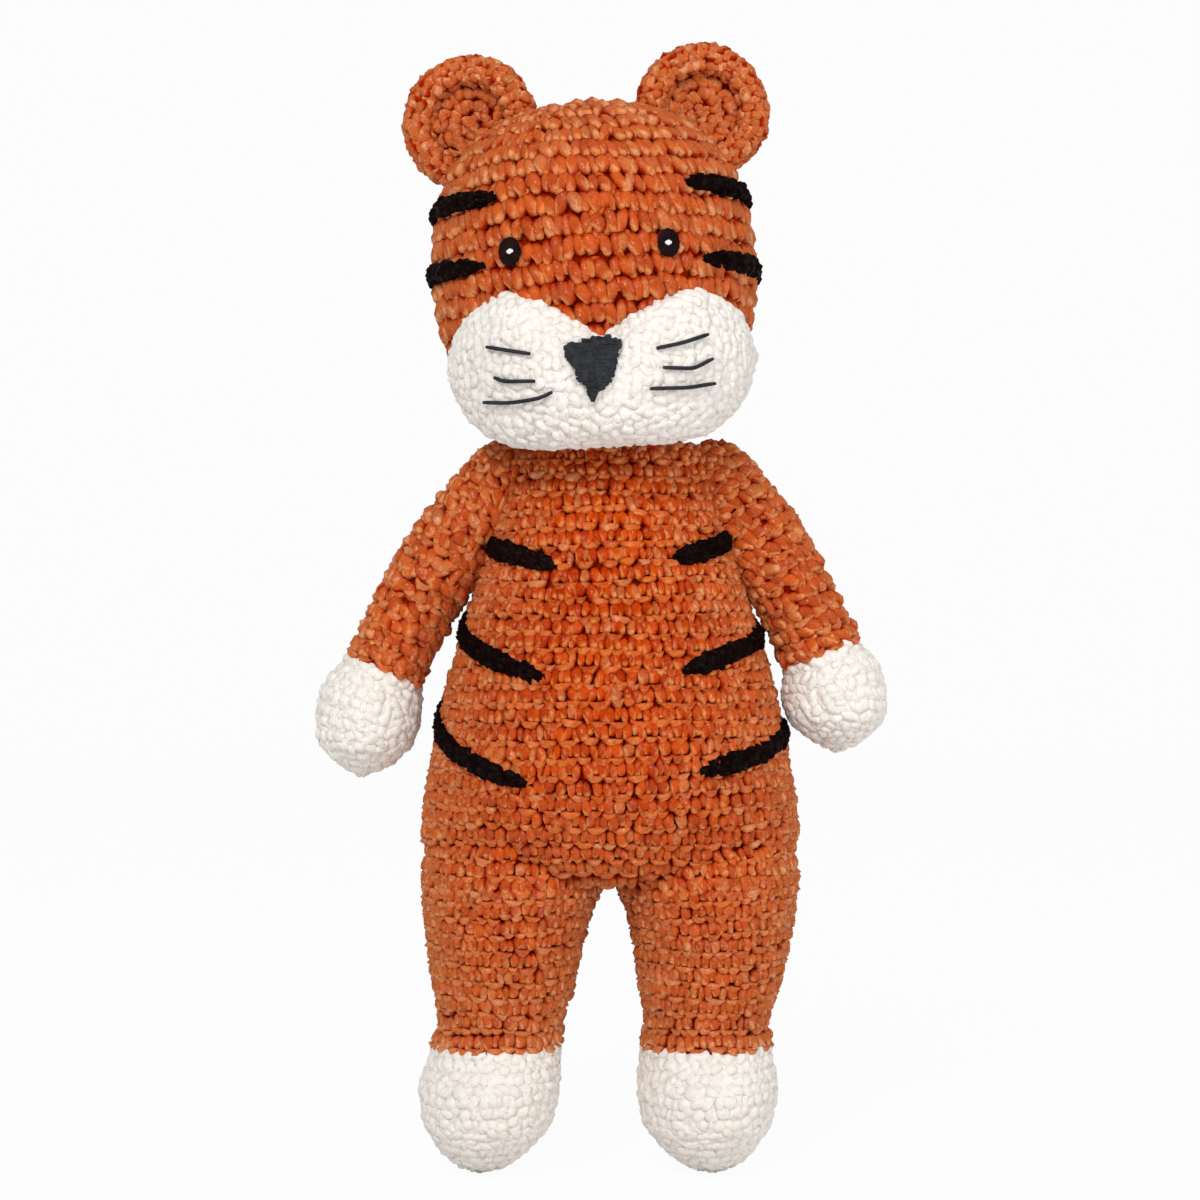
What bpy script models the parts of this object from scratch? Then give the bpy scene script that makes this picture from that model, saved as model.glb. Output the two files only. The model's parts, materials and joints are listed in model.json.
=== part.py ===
# A plush tiger, crocheted in thick yarn, stuffed and sewn together piece by piece.
# Units are metres and +Z is up. The toy faces -Y, and its own left is +X.
# The origin is on the ground, under the middle of the whole toy, paws and tail included.

import math

import bmesh
import bpy
from mathutils import Matrix, Vector

# Yarn, thread and sewing
fabric_thickness = 0.0045
fit_gap = 0.0003
joint_gap = 0.0006
thread_radius = 0.0009
stripe_radius = 0.0034
cutter_overrun = 0.020
cutter_reach = 0.400
weld_distance = 0.00003
root_slack = 0.00015

# Where the middle of the body stands, with the toy's outline centred on the origin
body_place = (0.0033, -0.0048)

# Body
body_height = 0.174
body_half_width = 0.0745
body_half_depth = 0.059
body_hem_rise = 0.020
crotch_half_width = 0.0020
neck_radius = 0.026

# Legs and feet
leg_gap = 0.005
hip_height = 0.115
hip_half_width = (body_half_width - leg_gap / 2) / 2
hip_offset = hip_half_width + leg_gap / 2
hip_half_depth = 0.040
sole_cut = 0.0005
foot_top_height = 0.051
foot_forward = 0.005
foot_splay = {"left": 0.0, "right": 0.010}

# Arms and paws, with the shoulders at shares of the body's height over the hips and half width
shoulder_rise_share = 0.9092
shoulder_offset_share = 0.5530
shoulder_height = hip_height + body_height * shoulder_rise_share
shoulder_offset = body_half_width * shoulder_offset_share
arm_radius = 0.0168
paw_radius = 0.0216
arm_drop = {"left": 0.1075, "right": 0.1175}
arm_reach = {"left": 0.0504, "right": 0.0570}

# Head
head_half_width = 0.064
head_half_depth = 0.065
head_half_height = 0.0655
head_roundness = 2.4
head_rise = 0.0694
head_shift = -0.0028
head_tilt = math.radians(-3.0)
neck_socket_radius = 0.0295
seam_radius = 0.0014
seam_lift = math.radians(18.0)

# Muzzle
muzzle_half_width = 0.0612
muzzle_half_height = 0.0310
muzzle_drop = 0.0430
muzzle_shift = 0.0012
muzzle_depth = 0.020
muzzle_forward = 0.054
muzzle_back = 0.022
muzzle_fabric = 0.0035

# Ears
ear_radius = 0.0265
ear_rim_radius = 0.0060
ear_thickness = 0.0150
ear_floor = 0.0055
ear_offset = 0.0448
ear_rise = 0.0608
ear_turn = math.radians(10.0)

# Eyes, nose and whiskers
eye_half_width = 0.0047
eye_half_height = 0.0061
eye_thickness = 0.0014
eye_offset = 0.0299
eye_shift = -0.0016
eye_rise = 0.0019
glint_radius = 0.0014
glint_thickness = 0.0008
nose_half_width = 0.0107
nose_height = 0.0198
nose_thickness = 0.0024
nose_top = 0.0342
nose_shift = -0.0023
nose_stem_length = 0.0041

# Tail
tail_rise_share = 0.3793
tail_height = hip_height + body_height * tail_rise_share
tail_inset = 0.002
tail_radius = 0.009
tail_drop = 0.068
tail_reach = 0.019
tail_band_radius = 0.0024
tail_fabric = 0.0028

SIDES = (("left", 1), ("right", -1))

# Facets round each form, then for the balls and rings also along them
body_sides = 18
head_sides = 18
head_rings = 12
limb_sides = 12
muzzle_sides = 12
tail_sides = 10
thread_sides = 8
pin_sides = 18
ear_sides = 20
ear_rim_steps = 6
dome_steps = 4
hip_ball_facets = (20, 12)
shoulder_ball_facets = (16, 10)
shoulder_root_facets = (24, 14)
tail_ball_facets = (12, 8)
tail_root_facets = (16, 10)
neck_ball_facets = (20, 12)
tail_band_facets = (16, 6)
neck_seam_facets = (28, 6)

# Points along each sewn strip or thread
stripe_points = 9
whisker_points = 5
stem_points = 4

# Leg outline, from the sole up to the hip: height as a share of the hip's height, half width and
# half depth as shares of the hip's, how far forward it lies as a share of foot_forward, and how
# far out as shares of foot_splay and of leg_gap
leg_shares = (
    (0.000, 0.22, 0.24, 0.60, 1.15, 0.20),
    (0.035, 0.44, 0.46, 0.75, 1.12, 0.15),
    (0.100, 0.63, 0.66, 0.90, 1.07, 0.05),
    (0.190, 0.75, 0.79, 0.95, 1.00, 0.00),
    (0.300, 0.79, 0.83, 0.90, 0.92, 0.00),
    (0.400, 0.755, 0.77, 0.65, 0.75, -0.05),
    (0.520, 0.69, 0.70, 0.25, 0.50, 0.00),
    (0.650, 0.79, 0.785, 0.10, 0.30, 0.20),
    (0.790, 0.87, 0.89, 0.00, 0.15, 0.35),
    (0.910, 0.945, 0.96, 0.00, 0.05, 0.25),
    (1.000, 1.00, 1.00, 0.00, 0.00, 0.00),
)

# Body outline, from the crotch up: height over the hips as a share of body_height, then half
# width and half depth as shares of the body's largest
body_shares = (
    (-0.012, 0.40, 0.30),
    (0.020, 0.76, 0.58),
    (0.060, 0.94, 0.72),
    (0.115, 1.000, 0.82),
    (0.190, 0.985, 0.92),
    (0.320, 0.930, 1.00),
    (0.460, 0.862, 0.95),
    (0.625, 0.746, 0.84),
    (0.760, 0.660, 0.745),
    (0.870, 0.580, 0.650),
    (0.935, 0.490, 0.560),
    (0.970, 0.395, 0.480),
)

# Arm centre line, from the shoulder to the fingertip: shares of the arm's reach and drop, and
# the radius as a share of arm_radius, or below the wrist of paw_radius
arm_shares = (
    (0.000, 0.000, 1.000),
    (0.130, 0.068, 1.000),
    (0.280, 0.155, 1.000),
    (0.449, 0.263, 1.000),
    (0.618, 0.396, 0.965),
    (0.765, 0.536, 0.940),
)
paw_shares = (
    (0.860, 0.640, 0.800),
    (0.925, 0.715, 0.960),
    (0.968, 0.790, 1.000),
    (0.990, 0.865, 0.940),
    (0.998, 0.935, 0.680),
    (1.000, 0.980, 0.340),
)
wrist_share = (0.845, 0.620)

# Muzzle sections, from the middle to one end: place along its half width, the middle height
# and the half height as shares of muzzle_half_height, how far the section's middle lies
# forward of muzzle_back as a share of the way to muzzle_forward, and its half depth as a
# share of muzzle_depth
muzzle_shares = (
    (0.00, -0.290, 0.710, 1.00, 1.00),
    (0.20, -0.165, 0.835, 1.00, 1.00),
    (0.40, -0.065, 0.925, 0.92, 1.00),
    (0.58, 0.020, 0.950, 0.79, 0.96),
    (0.74, 0.030, 0.830, 0.59, 0.87),
    (0.88, 0.080, 0.600, 0.33, 0.70),
    (0.96, 0.125, 0.320, 0.14, 0.45),
)

# Tail centre line, from its root to its tip: shares of tail_reach, tail_drop and tail_radius
tail_shares = (
    (0.00, 0.00, 1.00),
    (0.42, 0.07, 1.00),
    (0.76, 0.20, 1.00),
    (0.95, 0.38, 1.00),
    (1.00, 0.58, 1.00),
    (0.98, 0.78, 1.00),
    (0.95, 0.91, 0.85),
    (0.94, 0.98, 0.45),
)
tail_band_shares = (0.56, 0.76)
tail_open_share = 0.4

# Stripes run from an inner to an outer end by two angles from the front, in degrees, and two
# heights: on the head as shares of its half height over its middle, on the body as shares of
# body_height over the hips
head_stripe_shares = {
    "right": (
        ("upper", (36.0, 70.0, 112.0), (0.358, 0.380, 0.365)),
        ("lower", (41.0, 84.0, 112.0), (-0.026, 0.000, 0.008)),
    ),
    "left": (
        ("upper", (35.5, 72.0, 112.0), (0.395, 0.391, 0.370)),
        ("lower", (41.0, 77.0, 110.0), (-0.053, -0.062, -0.080)),
    ),
}
body_stripe_shares = {
    "right": (
        ("upper", (24.0, 46.0, 62.0), (0.720, 0.743, 0.758)),
        ("middle", (23.0, 62.0, 108.0), (0.472, 0.538, 0.620)),
        ("lower", (25.0, 62.0, 108.0), (0.238, 0.313, 0.420)),
    ),
    "left": (
        ("upper", (29.0, 48.0, 62.0), (0.733, 0.755, 0.771)),
        ("middle", (26.0, 62.0, 112.0), (0.487, 0.540, 0.590)),
        ("lower", (29.0, 62.0, 110.0), (0.267, 0.312, 0.375)),
    ),
}
stripe_taper_share = 0.55
stripe_lift_share = 0.25
thread_lift_share = 0.5

# Whiskers, by their inner and outer ends: places across as shares of muzzle_half_width, and
# heights over the muzzle's middle as shares of muzzle_half_height
whisker_shares = {
    "right": (
        ((0.440, 0.144), (0.711, 0.284)),
        ((0.418, -0.195), (0.670, -0.102)),
        ((0.317, -0.343), (0.748, -0.382)),
    ),
    "left": (
        ((0.330, 0.125), (0.657, 0.290)),
        ((0.366, -0.116), (0.676, -0.017)),
        ((0.279, -0.367), (0.686, -0.319)),
    ),
}

# Ear profile, from the middle out: the flat floor, the slope up to the rim, and the back, as
# shares of the rim's radius and of the rim's thickness
ear_floor_share = 0.45
ear_slope_share = 0.75
ear_back_share = 0.85
ear_back_rise_share = 0.25
ear_rim_angles = (150.0, -30.0)

# Nose outline, as shares of its half width and height, from the top middle round the left
nose_outline_share = (
    (0.00, 0.00),
    (0.45, 0.02),
    (0.85, -0.03),
    (1.00, -0.20),
    (0.85, -0.45),
    (0.50, -0.80),
    (0.18, -1.00),
    (-0.18, -1.00),
    (-0.50, -0.80),
    (-0.85, -0.45),
    (-1.00, -0.20),
    (-0.85, -0.03),
    (-0.45, 0.02),
)

yarn_colours = {
    "orange_yarn": (0.60, 0.155, 0.030),
    "white_yarn": (0.80, 0.78, 0.74),
    "black_yarn": (0.020, 0.014, 0.014),
    "dark_thread": (0.030, 0.028, 0.032),
    "white_thread": (0.85, 0.84, 0.82),
    "stuffing": (0.88, 0.87, 0.84),
}


def clear_scene():
    for ob in list(bpy.data.objects):
        bpy.data.objects.remove(ob, do_unlink=True)


def new_collection(name):
    collection = bpy.data.collections.new(name)
    bpy.context.scene.collection.children.link(collection)
    return collection


def new_material(name, colour):
    material = bpy.data.materials.new(name)
    material.use_nodes = True
    surface = material.node_tree.nodes["Principled BSDF"]
    surface.inputs["Base Color"].default_value = (*colour, 1.0)
    surface.inputs["Roughness"].default_value = 0.9
    surface.inputs["Metallic"].default_value = 0.0
    return material


def add_piece(name, mesh, frame, material):
    mesh.name = name
    mesh.materials.clear()
    mesh.materials.append(materials[material])
    mesh.shade_smooth()
    mesh.set_sharp_from_angle(angle=math.radians(50.0))
    piece = bpy.data.objects.new(name, mesh)
    piece.parent = frame
    toy.objects.link(piece)
    return piece


def add_cutter(name, mesh, frame):
    cutter = bpy.data.objects.new(name, mesh)
    cutter.parent = frame
    cutter.hide_render = True
    cutter.display_type = "WIRE"
    cutters.objects.link(cutter)
    return cutter


def add_frame(name, location, parent):
    """An empty on a joint's axis, which carries the pieces that move together."""
    frame = bpy.data.objects.new(name, None)
    frame.location = location
    frame.parent = parent
    toy.objects.link(frame)
    return frame


def cut(piece, cutter, operation="DIFFERENCE"):
    modifier = piece.modifiers.new(operation.lower(), "BOOLEAN")
    modifier.operation = operation
    modifier.object = cutter
    return piece


def swell(piece, amount):
    """Moves a surface out along its normals, or in where the amount is negative."""
    modifier = piece.modifiers.new("swell", "DISPLACE")
    modifier.mid_level = 0.0
    modifier.strength = amount
    return piece


def make_skin(piece, thickness):
    modifier = piece.modifiers.new("fabric", "SOLIDIFY")
    modifier.thickness = thickness
    modifier.offset = -1.0
    return piece


def ring(middle, across, deep):
    """A section of a form: its middle and its two half axes."""
    return Vector(middle), Vector(across), Vector(deep)


def lofted(rings, sides, first_tip, last_tip):
    """A closed form through unlike elliptical sections, ending in a tip at each end."""
    bm = bmesh.new()
    loops = []
    for middle, across, deep in rings:
        loop = []
        for k in range(sides):
            angle = 2.0 * math.pi * k / sides
            loop.append(bm.verts.new(middle + across * math.cos(angle) + deep * math.sin(angle)))
        loops.append(loop)
    for low, high in zip(loops, loops[1:]):
        for k in range(sides):
            after = (k + 1) % sides
            bm.faces.new((low[k], low[after], high[after], high[k]))
    for loop, tip in ((loops[0], first_tip), (loops[-1], last_tip)):
        end = bm.verts.new(tip)
        for k in range(sides):
            bm.faces.new((loop[k], loop[(k + 1) % sides], end))
    bmesh.ops.recalc_face_normals(bm, faces=bm.faces)
    bmesh.ops.triangulate(bm, faces=bm.faces, quad_method="FIXED")
    mesh = bpy.data.meshes.new("form")
    bm.to_mesh(mesh)
    bm.free()
    return mesh


def box_mesh(low, high):
    bm = bmesh.new()
    bmesh.ops.create_cube(bm, size=1.0)
    for v in bm.verts:
        v.co = Vector([a + (b - a) * (c + 0.5) for a, b, c in zip(low, high, v.co)])
    mesh = bpy.data.meshes.new("box")
    bm.to_mesh(mesh)
    bm.free()
    return mesh


def half_space(name, frame, point, direction):
    """A large block whose near face passes through the point, square to the direction."""
    block = box_mesh((-cutter_reach, -cutter_reach, 0.0), (cutter_reach, cutter_reach, cutter_reach))
    turn = Vector((0.0, 0.0, 1.0)).rotation_difference(Vector(direction)).to_matrix().to_4x4()
    block.transform(Matrix.Translation(point) @ turn)
    return add_cutter(name, block, frame)


def ball_mesh(radii, facets):
    """A ball whose flat facets, and not its corners, lie on its radii."""
    sides, rings = facets
    bm = bmesh.new()
    corner = 1.0 / (math.cos(math.pi / sides) * math.cos(math.pi / (2 * rings)))
    bmesh.ops.create_uvsphere(bm, u_segments=sides, v_segments=rings, radius=corner)
    bmesh.ops.scale(bm, vec=radii, verts=bm.verts)
    mesh = bpy.data.meshes.new("ball")
    bm.to_mesh(mesh)
    bm.free()
    return mesh


def torus_mesh(radius, thickness, facets):
    bpy.ops.mesh.primitive_torus_add(major_radius=radius, minor_radius=thickness,
                                     major_segments=facets[0], minor_segments=facets[1])
    torus = bpy.context.object
    mesh = torus.data
    bpy.data.objects.remove(torus)
    return mesh


def tube_mesh(points, radius, radius_shares=None):
    """A round tube with closed ends along the points, as a mesh."""
    curve = bpy.data.curves.new("tube", "CURVE")
    curve.dimensions = "3D"
    curve.bevel_depth = radius
    curve.bevel_resolution = thread_sides // 2 - 2
    curve.use_fill_caps = True
    spline = curve.splines.new("POLY")
    spline.points.add(len(points) - 1)
    for i, point in enumerate(points):
        spline.points[i].co = (*point, 1.0)
        spline.points[i].radius = radius_shares[i] if radius_shares else 1.0
    return curve_to_mesh(curve)


def curve_to_mesh(curve):
    """The solid of a curve, with its loose caps welded on."""
    holder = bpy.data.objects.new("curve", curve)
    bpy.context.scene.collection.objects.link(holder)
    bpy.context.view_layer.update()
    evaluated = holder.evaluated_get(bpy.context.evaluated_depsgraph_get())
    mesh = bpy.data.meshes.new_from_object(evaluated)
    bm = bmesh.new()
    bm.from_mesh(mesh)
    bmesh.ops.remove_doubles(bm, verts=bm.verts, dist=weld_distance)
    bmesh.ops.recalc_face_normals(bm, faces=bm.faces)
    bm.to_mesh(mesh)
    bm.free()
    bpy.data.objects.remove(holder, do_unlink=True)
    return mesh


def between(table, place, column):
    """The value of a column of a table of shares at a place in its first column."""
    if place <= table[0][0]:
        return table[0][column]
    for low, high in zip(table, table[1:]):
        if place <= high[0]:
            part = (place - low[0]) / (high[0] - low[0])
            return low[column] + (high[column] - low[column]) * part
    return table[-1][column]


def smooth_stops(stops):
    """Values at a stripe's points along a curve through three stops."""
    first, middle, last = stops
    values = []
    for i in range(stripe_points):
        t = i / (stripe_points - 1)
        start = first * (1.0 - t) * (1.0 - 2.0 * t)
        values.append(start + middle * 4.0 * t * (1.0 - t) + last * t * (2.0 * t - 1.0))
    return values


# Legs


def leg_form(side):
    """The whole leg about its hip, with a round top that the body's socket fits."""
    rings = []
    for height, width, depth, forward, splay, spread in leg_shares:
        out = dict(SIDES)[side] * (foot_splay[side] * splay + leg_gap * spread)
        level = hip_height * (height - 1.0) if height else -hip_height - sole_cut
        middle = (out, -foot_forward * forward, level)
        rings.append(ring(middle, (hip_half_width * width, 0, 0), (0, hip_half_depth * depth, 0)))
    for i in range(1, dome_steps + 1):
        angle = i * math.pi / 2 / (dome_steps + 1)
        wide = math.cos(angle)
        rings.append(ring((0, 0, hip_half_depth * math.sin(angle)),
                          (hip_half_width * wide, 0, 0), (0, hip_half_depth * wide, 0)))
    sole = rings[0][0]
    return lofted(rings, limb_sides, sole, (0, 0, hip_half_depth))


def make_legs():
    for side, sign in SIDES:
        frame = add_frame("hip_" + side, (sign * hip_offset, 0, hip_height), base)
        seam = foot_top_height - hip_height
        above = half_space("leg_above_foot_" + side, frame, (0, 0, seam - fit_gap / 2), (0, 0, 1))
        below = half_space("leg_below_ankle_" + side, frame, (0, 0, seam + fit_gap / 2), (0, 0, -1))
        ground = half_space("ground_" + side, frame, (0, 0, -hip_height), (0, 0, -1))
        leg = make_skin(add_piece("leg_" + side, leg_form(side), frame, "orange_yarn"),
                        fabric_thickness)
        cut(leg, below)
        foot = make_skin(add_piece("foot_" + side, leg_form(side), frame, "white_yarn"),
                         fabric_thickness)
        cut(foot, above)
        cut(foot, ground)
        swell(add_piece("leg_stuffing_" + side, leg_form(side), frame, "stuffing"),
              -fabric_thickness - fit_gap)


# Body


def body_form():
    rings = []
    for height, width, depth in body_shares:
        rings.append(ring((0, 0, hip_height + body_height * height),
                          (body_half_width * width, 0, 0), (0, body_half_depth * depth, 0)))
    for i in range(dome_steps + 1):
        angle = i * math.pi / 2 / (dome_steps + 1)
        wide = neck_radius * math.cos(angle)
        rings.append(ring((0, 0, hip_height + body_height + neck_radius * math.sin(angle)),
                          (wide, 0, 0), (0, wide, 0)))
    return lofted(rings, body_sides, (0, 0, hip_height + body_height * body_shares[0][0]),
                  (0, 0, hip_height + body_height + neck_radius))


def body_point(angle, share, lift=0.0):
    """A point on the body at an angle from the front, in degrees, and a share of its height."""
    turn = math.radians(angle)
    across = body_half_width * between(body_shares, share, 1) + lift
    deep = body_half_depth * between(body_shares, share, 2) + lift
    return Vector((across * math.sin(turn), -deep * math.cos(turn), hip_height + body_height * share))


def cut_body(piece):
    """Takes the hip, shoulder and tail sockets out of the body's skin or stuffing."""
    for name in body_sockets:
        cut(piece, bpy.data.objects[name])
    return piece


def make_body_sockets():
    names = []
    hem = hip_height + body_hem_rise
    for side, sign in SIDES:
        socket = [hip_half_width + fit_gap, hip_half_depth + fit_gap, hip_half_depth + fit_gap]
        ball = ball_mesh(socket, hip_ball_facets)
        ball.transform(Matrix.Translation((sign * hip_offset, 0, hip_height)))
        names.append(add_cutter("hip_socket_" + side, ball, base).name)
        ends = sorted((sign * crotch_half_width, sign * (body_half_width + cutter_overrun)))
        reach = body_half_depth + cutter_overrun
        block = box_mesh((ends[0], -reach, 0), (ends[1], reach, hem))
        names.append(add_cutter("below_hem_" + side, block, base).name)
        ball = ball_mesh([arm_radius + joint_gap] * 3, shoulder_ball_facets)
        ball.transform(Matrix.Translation((sign * shoulder_offset, 0, shoulder_height)))
        names.append(add_cutter("shoulder_socket_" + side, ball, base).name)
    ball = ball_mesh([tail_radius + joint_gap] * 3, tail_ball_facets)
    ball.transform(Matrix.Translation(tail_root()))
    names.append(add_cutter("tail_socket", ball, base).name)
    return names


def make_body():
    skin = make_skin(add_piece("body", body_form(), base, "orange_yarn"), fabric_thickness)
    cut_body(skin)
    filling = swell(add_piece("body_stuffing", body_form(), base, "stuffing"),
                    -fabric_thickness - fit_gap)
    cut_body(filling)
    seat = swell(add_cutter("body_seat", body_form(), base), fit_gap)
    for side, sign in SIDES:
        for place, angles, heights in body_stripe_shares[side]:
            line = zip(smooth_stops(angles), smooth_stops(heights))
            lift = stripe_radius * stripe_lift_share
            points = [body_point(sign * angle, height, lift) for angle, height in line]
            add_stripe("body_stripe_%s_%s" % (side, place), points, base, seat)


def add_stripe(name, points, frame, seat):
    """A strip of black yarn sewn along the surface, thinner at its inner end."""
    ends = (stripe_taper_share, (1.0 + stripe_taper_share) / 2)
    shares = list(ends) + [1.0] * (len(points) - 3) + [ends[1]]
    stripe = add_piece(name, tube_mesh(points, stripe_radius, shares), frame, "black_yarn")
    return cut(stripe, seat)


# Arms


def arm_path(side):
    """Middles and radii of the arm's sections about the shoulder, then its fingertip."""
    sign = dict(SIDES)[side]
    sections = []
    for shares, radius in ((arm_shares, arm_radius), (paw_shares, paw_radius)):
        for out, down, size in shares:
            middle = Vector((sign * arm_reach[side] * out, 0, -arm_drop[side] * down))
            sections.append((middle, radius * size))
    return sections, Vector((sign * arm_reach[side], 0, -arm_drop[side]))


def arm_direction(side, share):
    """The way that the arm's middle runs at a share of its sections."""
    sections, tip = arm_path(side)
    middles = [middle for middle, _ in sections] + [tip]
    return (middles[share + 1] - middles[max(share - 1, 0)]).normalized()


def arm_form(side):
    sections, tip = arm_path(side)
    start = arm_direction(side, 0)
    rings = []
    for i in range(dome_steps, 0, -1):
        angle = i * math.pi / 2 / (dome_steps + 1)
        square = start.cross(Vector((0, 1, 0)))
        wide = arm_radius * math.cos(angle)
        rings.append(ring(start * -arm_radius * math.sin(angle), square * wide, (0, wide, 0)))
    for i, (middle, radius) in enumerate(sections):
        square = arm_direction(side, i).cross(Vector((0, 1, 0)))
        rings.append(ring(middle, square * radius, (0, radius, 0)))
    return lofted(rings, limb_sides, start * -arm_radius, tip)


def make_arms():
    for side, sign in SIDES:
        frame = add_frame("shoulder_" + side, (sign * shoulder_offset, 0, shoulder_height), base)
        wall = swell(add_cutter("body_beside_arm_" + side, body_form(), base), fit_gap)
        ball = ball_mesh([arm_radius + root_slack] * 3, shoulder_root_facets)
        cut(wall, add_cutter("arm_root_" + side, ball, frame))
        out, down = wrist_share
        wrist = Vector((sign * arm_reach[side] * out, 0, -arm_drop[side] * down))
        along = arm_direction(side, len(arm_shares) - 1)
        above = half_space("arm_above_paw_" + side, frame, wrist + along * fit_gap / 2, -along)
        below = half_space("arm_below_wrist_" + side, frame, wrist - along * fit_gap / 2, along)
        arm = make_skin(add_piece("arm_" + side, arm_form(side), frame, "orange_yarn"),
                        fabric_thickness)
        cut(arm, wall)
        cut(arm, below)
        paw = make_skin(add_piece("paw_" + side, arm_form(side), frame, "white_yarn"),
                        fabric_thickness)
        cut(paw, above)
        filling = swell(add_piece("arm_stuffing_" + side, arm_form(side), frame, "stuffing"),
                        -fabric_thickness - fit_gap)
        cut(filling, wall)


# Tail


def tail_root():
    deep = body_half_depth * between(body_shares, tail_rise_share, 2) - tail_inset
    return Vector((0, deep, tail_height))


def tail_form():
    middles = [Vector((0, tail_reach * out, -tail_drop * down)) for out, down, _ in tail_shares]
    tip = Vector((0, tail_reach * tail_shares[-1][0], -tail_drop))
    line = middles + [tip]
    start = (line[1] - line[0]).normalized()
    rings = []
    for i in range(dome_steps - 1, 0, -1):
        angle = i * math.pi / 2 / dome_steps
        wide = tail_radius * math.cos(angle)
        rings.append(ring(start * -tail_radius * math.sin(angle), (wide, 0, 0),
                          start.cross(Vector((1, 0, 0))) * wide))
    for i, (_, _, size) in enumerate(tail_shares):
        along = (line[i + 1] - line[max(i - 1, 0)]).normalized()
        wide = tail_radius * size
        rings.append(ring(line[i], (wide, 0, 0), along.cross(Vector((1, 0, 0))) * wide))
    return lofted(rings, tail_sides, start * -tail_radius, tip)


def make_tail():
    frame = add_frame("tail_root", tail_root(), base)
    wall = swell(add_cutter("body_behind_tail", body_form(), base), fit_gap)
    ball = ball_mesh([tail_radius + root_slack] * 3, tail_root_facets)
    cut(wall, add_cutter("tail_dome", ball, frame))
    tail = make_skin(add_piece("tail", tail_form(), frame, "orange_yarn"), tail_fabric)
    cut(tail, wall)
    start = Vector((0, tail_reach * tail_shares[1][0], -tail_drop * tail_shares[1][1])).normalized()
    cut(tail, half_space("tail_open_end", frame, -start * tail_radius * tail_open_share, -start))
    filling = swell(add_piece("tail_stuffing", tail_form(), frame, "stuffing"),
                    -tail_fabric - fit_gap)
    cut(filling, wall)
    seat = swell(add_cutter("tail_seat", tail_form(), frame), fit_gap)
    for i, share in enumerate(tail_band_shares):
        out = between([(down, out) for out, down, _ in tail_shares], share, 1)
        mesh = torus_mesh(tail_radius + fit_gap, tail_band_radius, tail_band_facets)
        mesh.transform(Matrix.Translation((0, tail_reach * out, -tail_drop * share)))
        cut(add_piece("tail_band_%d" % (i + 1), mesh, frame, "black_yarn"), seat)


# Head


def head_width_share(height):
    """How wide the head is at a height over its middle, as a share of its widest."""
    part = min(abs(height) / head_half_height, 1.0)
    return (1.0 - part ** head_roundness) ** (1.0 / head_roundness)


def head_form():
    """The head ball about the neck's middle."""
    rings = []
    for i in range(1, head_rings):
        height = -head_half_height * math.cos(math.pi * i / head_rings)
        wide = head_width_share(height)
        rings.append(ring((head_shift, 0, head_rise + height),
                          (head_half_width * wide, 0, 0), (0, head_half_depth * wide, 0)))
    return lofted(rings, head_sides, (head_shift, 0, head_rise - head_half_height),
                  (head_shift, 0, head_rise + head_half_height))


def head_point(angle, height, lift=0.0):
    """A point on the head at an angle from the front, in degrees, and a height over its middle."""
    turn = math.radians(angle)
    wide = head_width_share(height)
    across = head_half_width * wide + lift
    deep = head_half_depth * wide + lift
    return Vector((head_shift + across * math.sin(turn), -deep * math.cos(turn), head_rise + height))


def muzzle_section(share):
    """The middle and half sizes of the muzzle's section at a share of its half width."""
    place = abs(share)
    middle = Vector((
        head_shift + muzzle_shift + muzzle_half_width * share,
        -muzzle_back - (muzzle_forward - muzzle_back) * between(muzzle_shares, place, 3),
        head_rise - muzzle_drop + muzzle_half_height * between(muzzle_shares, place, 1)))
    deep = muzzle_depth * between(muzzle_shares, place, 4)
    tall = muzzle_half_height * between(muzzle_shares, place, 2)
    return middle, deep, tall


def muzzle_form():
    places = [row[0] for row in muzzle_shares]
    stations = [-place for place in reversed(places[1:])] + places
    rings = []
    for station in stations:
        middle, deep, tall = muzzle_section(station)
        rings.append(ring(middle, (0, deep, 0), (0, 0, tall)))
    tips = []
    for end in (-1, 1):
        middle, _, _ = muzzle_section(end)
        tips.append(Vector((middle.x, -muzzle_back, middle.z)))
    return lofted(rings, muzzle_sides, *tips)


def muzzle_point(share, height_share, lift=0.0):
    """A point on the front of the muzzle, by shares of its half width and half height."""
    middle, deep, tall = muzzle_section(share)
    height = head_rise - muzzle_drop + muzzle_half_height * height_share
    rise = min(abs(height - middle.z) / tall, 1.0)
    return Vector((middle.x, middle.y - deep * math.sqrt(1.0 - rise * rise) - lift, height))


def make_head(neck):
    frame = add_frame("head_nod", (0, 0, 0), neck)
    frame.rotation_euler = (0, head_tilt, 0)
    ball = ball_mesh([neck_socket_radius] * 3, neck_ball_facets)
    socket = add_cutter("neck_socket", ball, frame)
    head = make_skin(add_piece("head", head_form(), frame, "orange_yarn"), fabric_thickness)
    cut(head, socket)
    filling = swell(add_piece("head_stuffing", head_form(), frame, "stuffing"),
                    -fabric_thickness - fit_gap)
    cut(filling, socket)
    seat = swell(add_cutter("head_seat", head_form(), frame), fit_gap)
    make_muzzle(frame, seat)
    make_ears(frame, seat)
    make_eyes(frame, seat)
    for side, sign in SIDES:
        for place, angles, shares in head_stripe_shares[side]:
            points = []
            for angle, share in zip(smooth_stops(angles), smooth_stops(shares)):
                height = share * head_half_height
                points.append(head_point(sign * angle, height, stripe_radius * stripe_lift_share))
            add_stripe("head_stripe_%s_%s" % (side, place), points, frame, seat)


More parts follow.
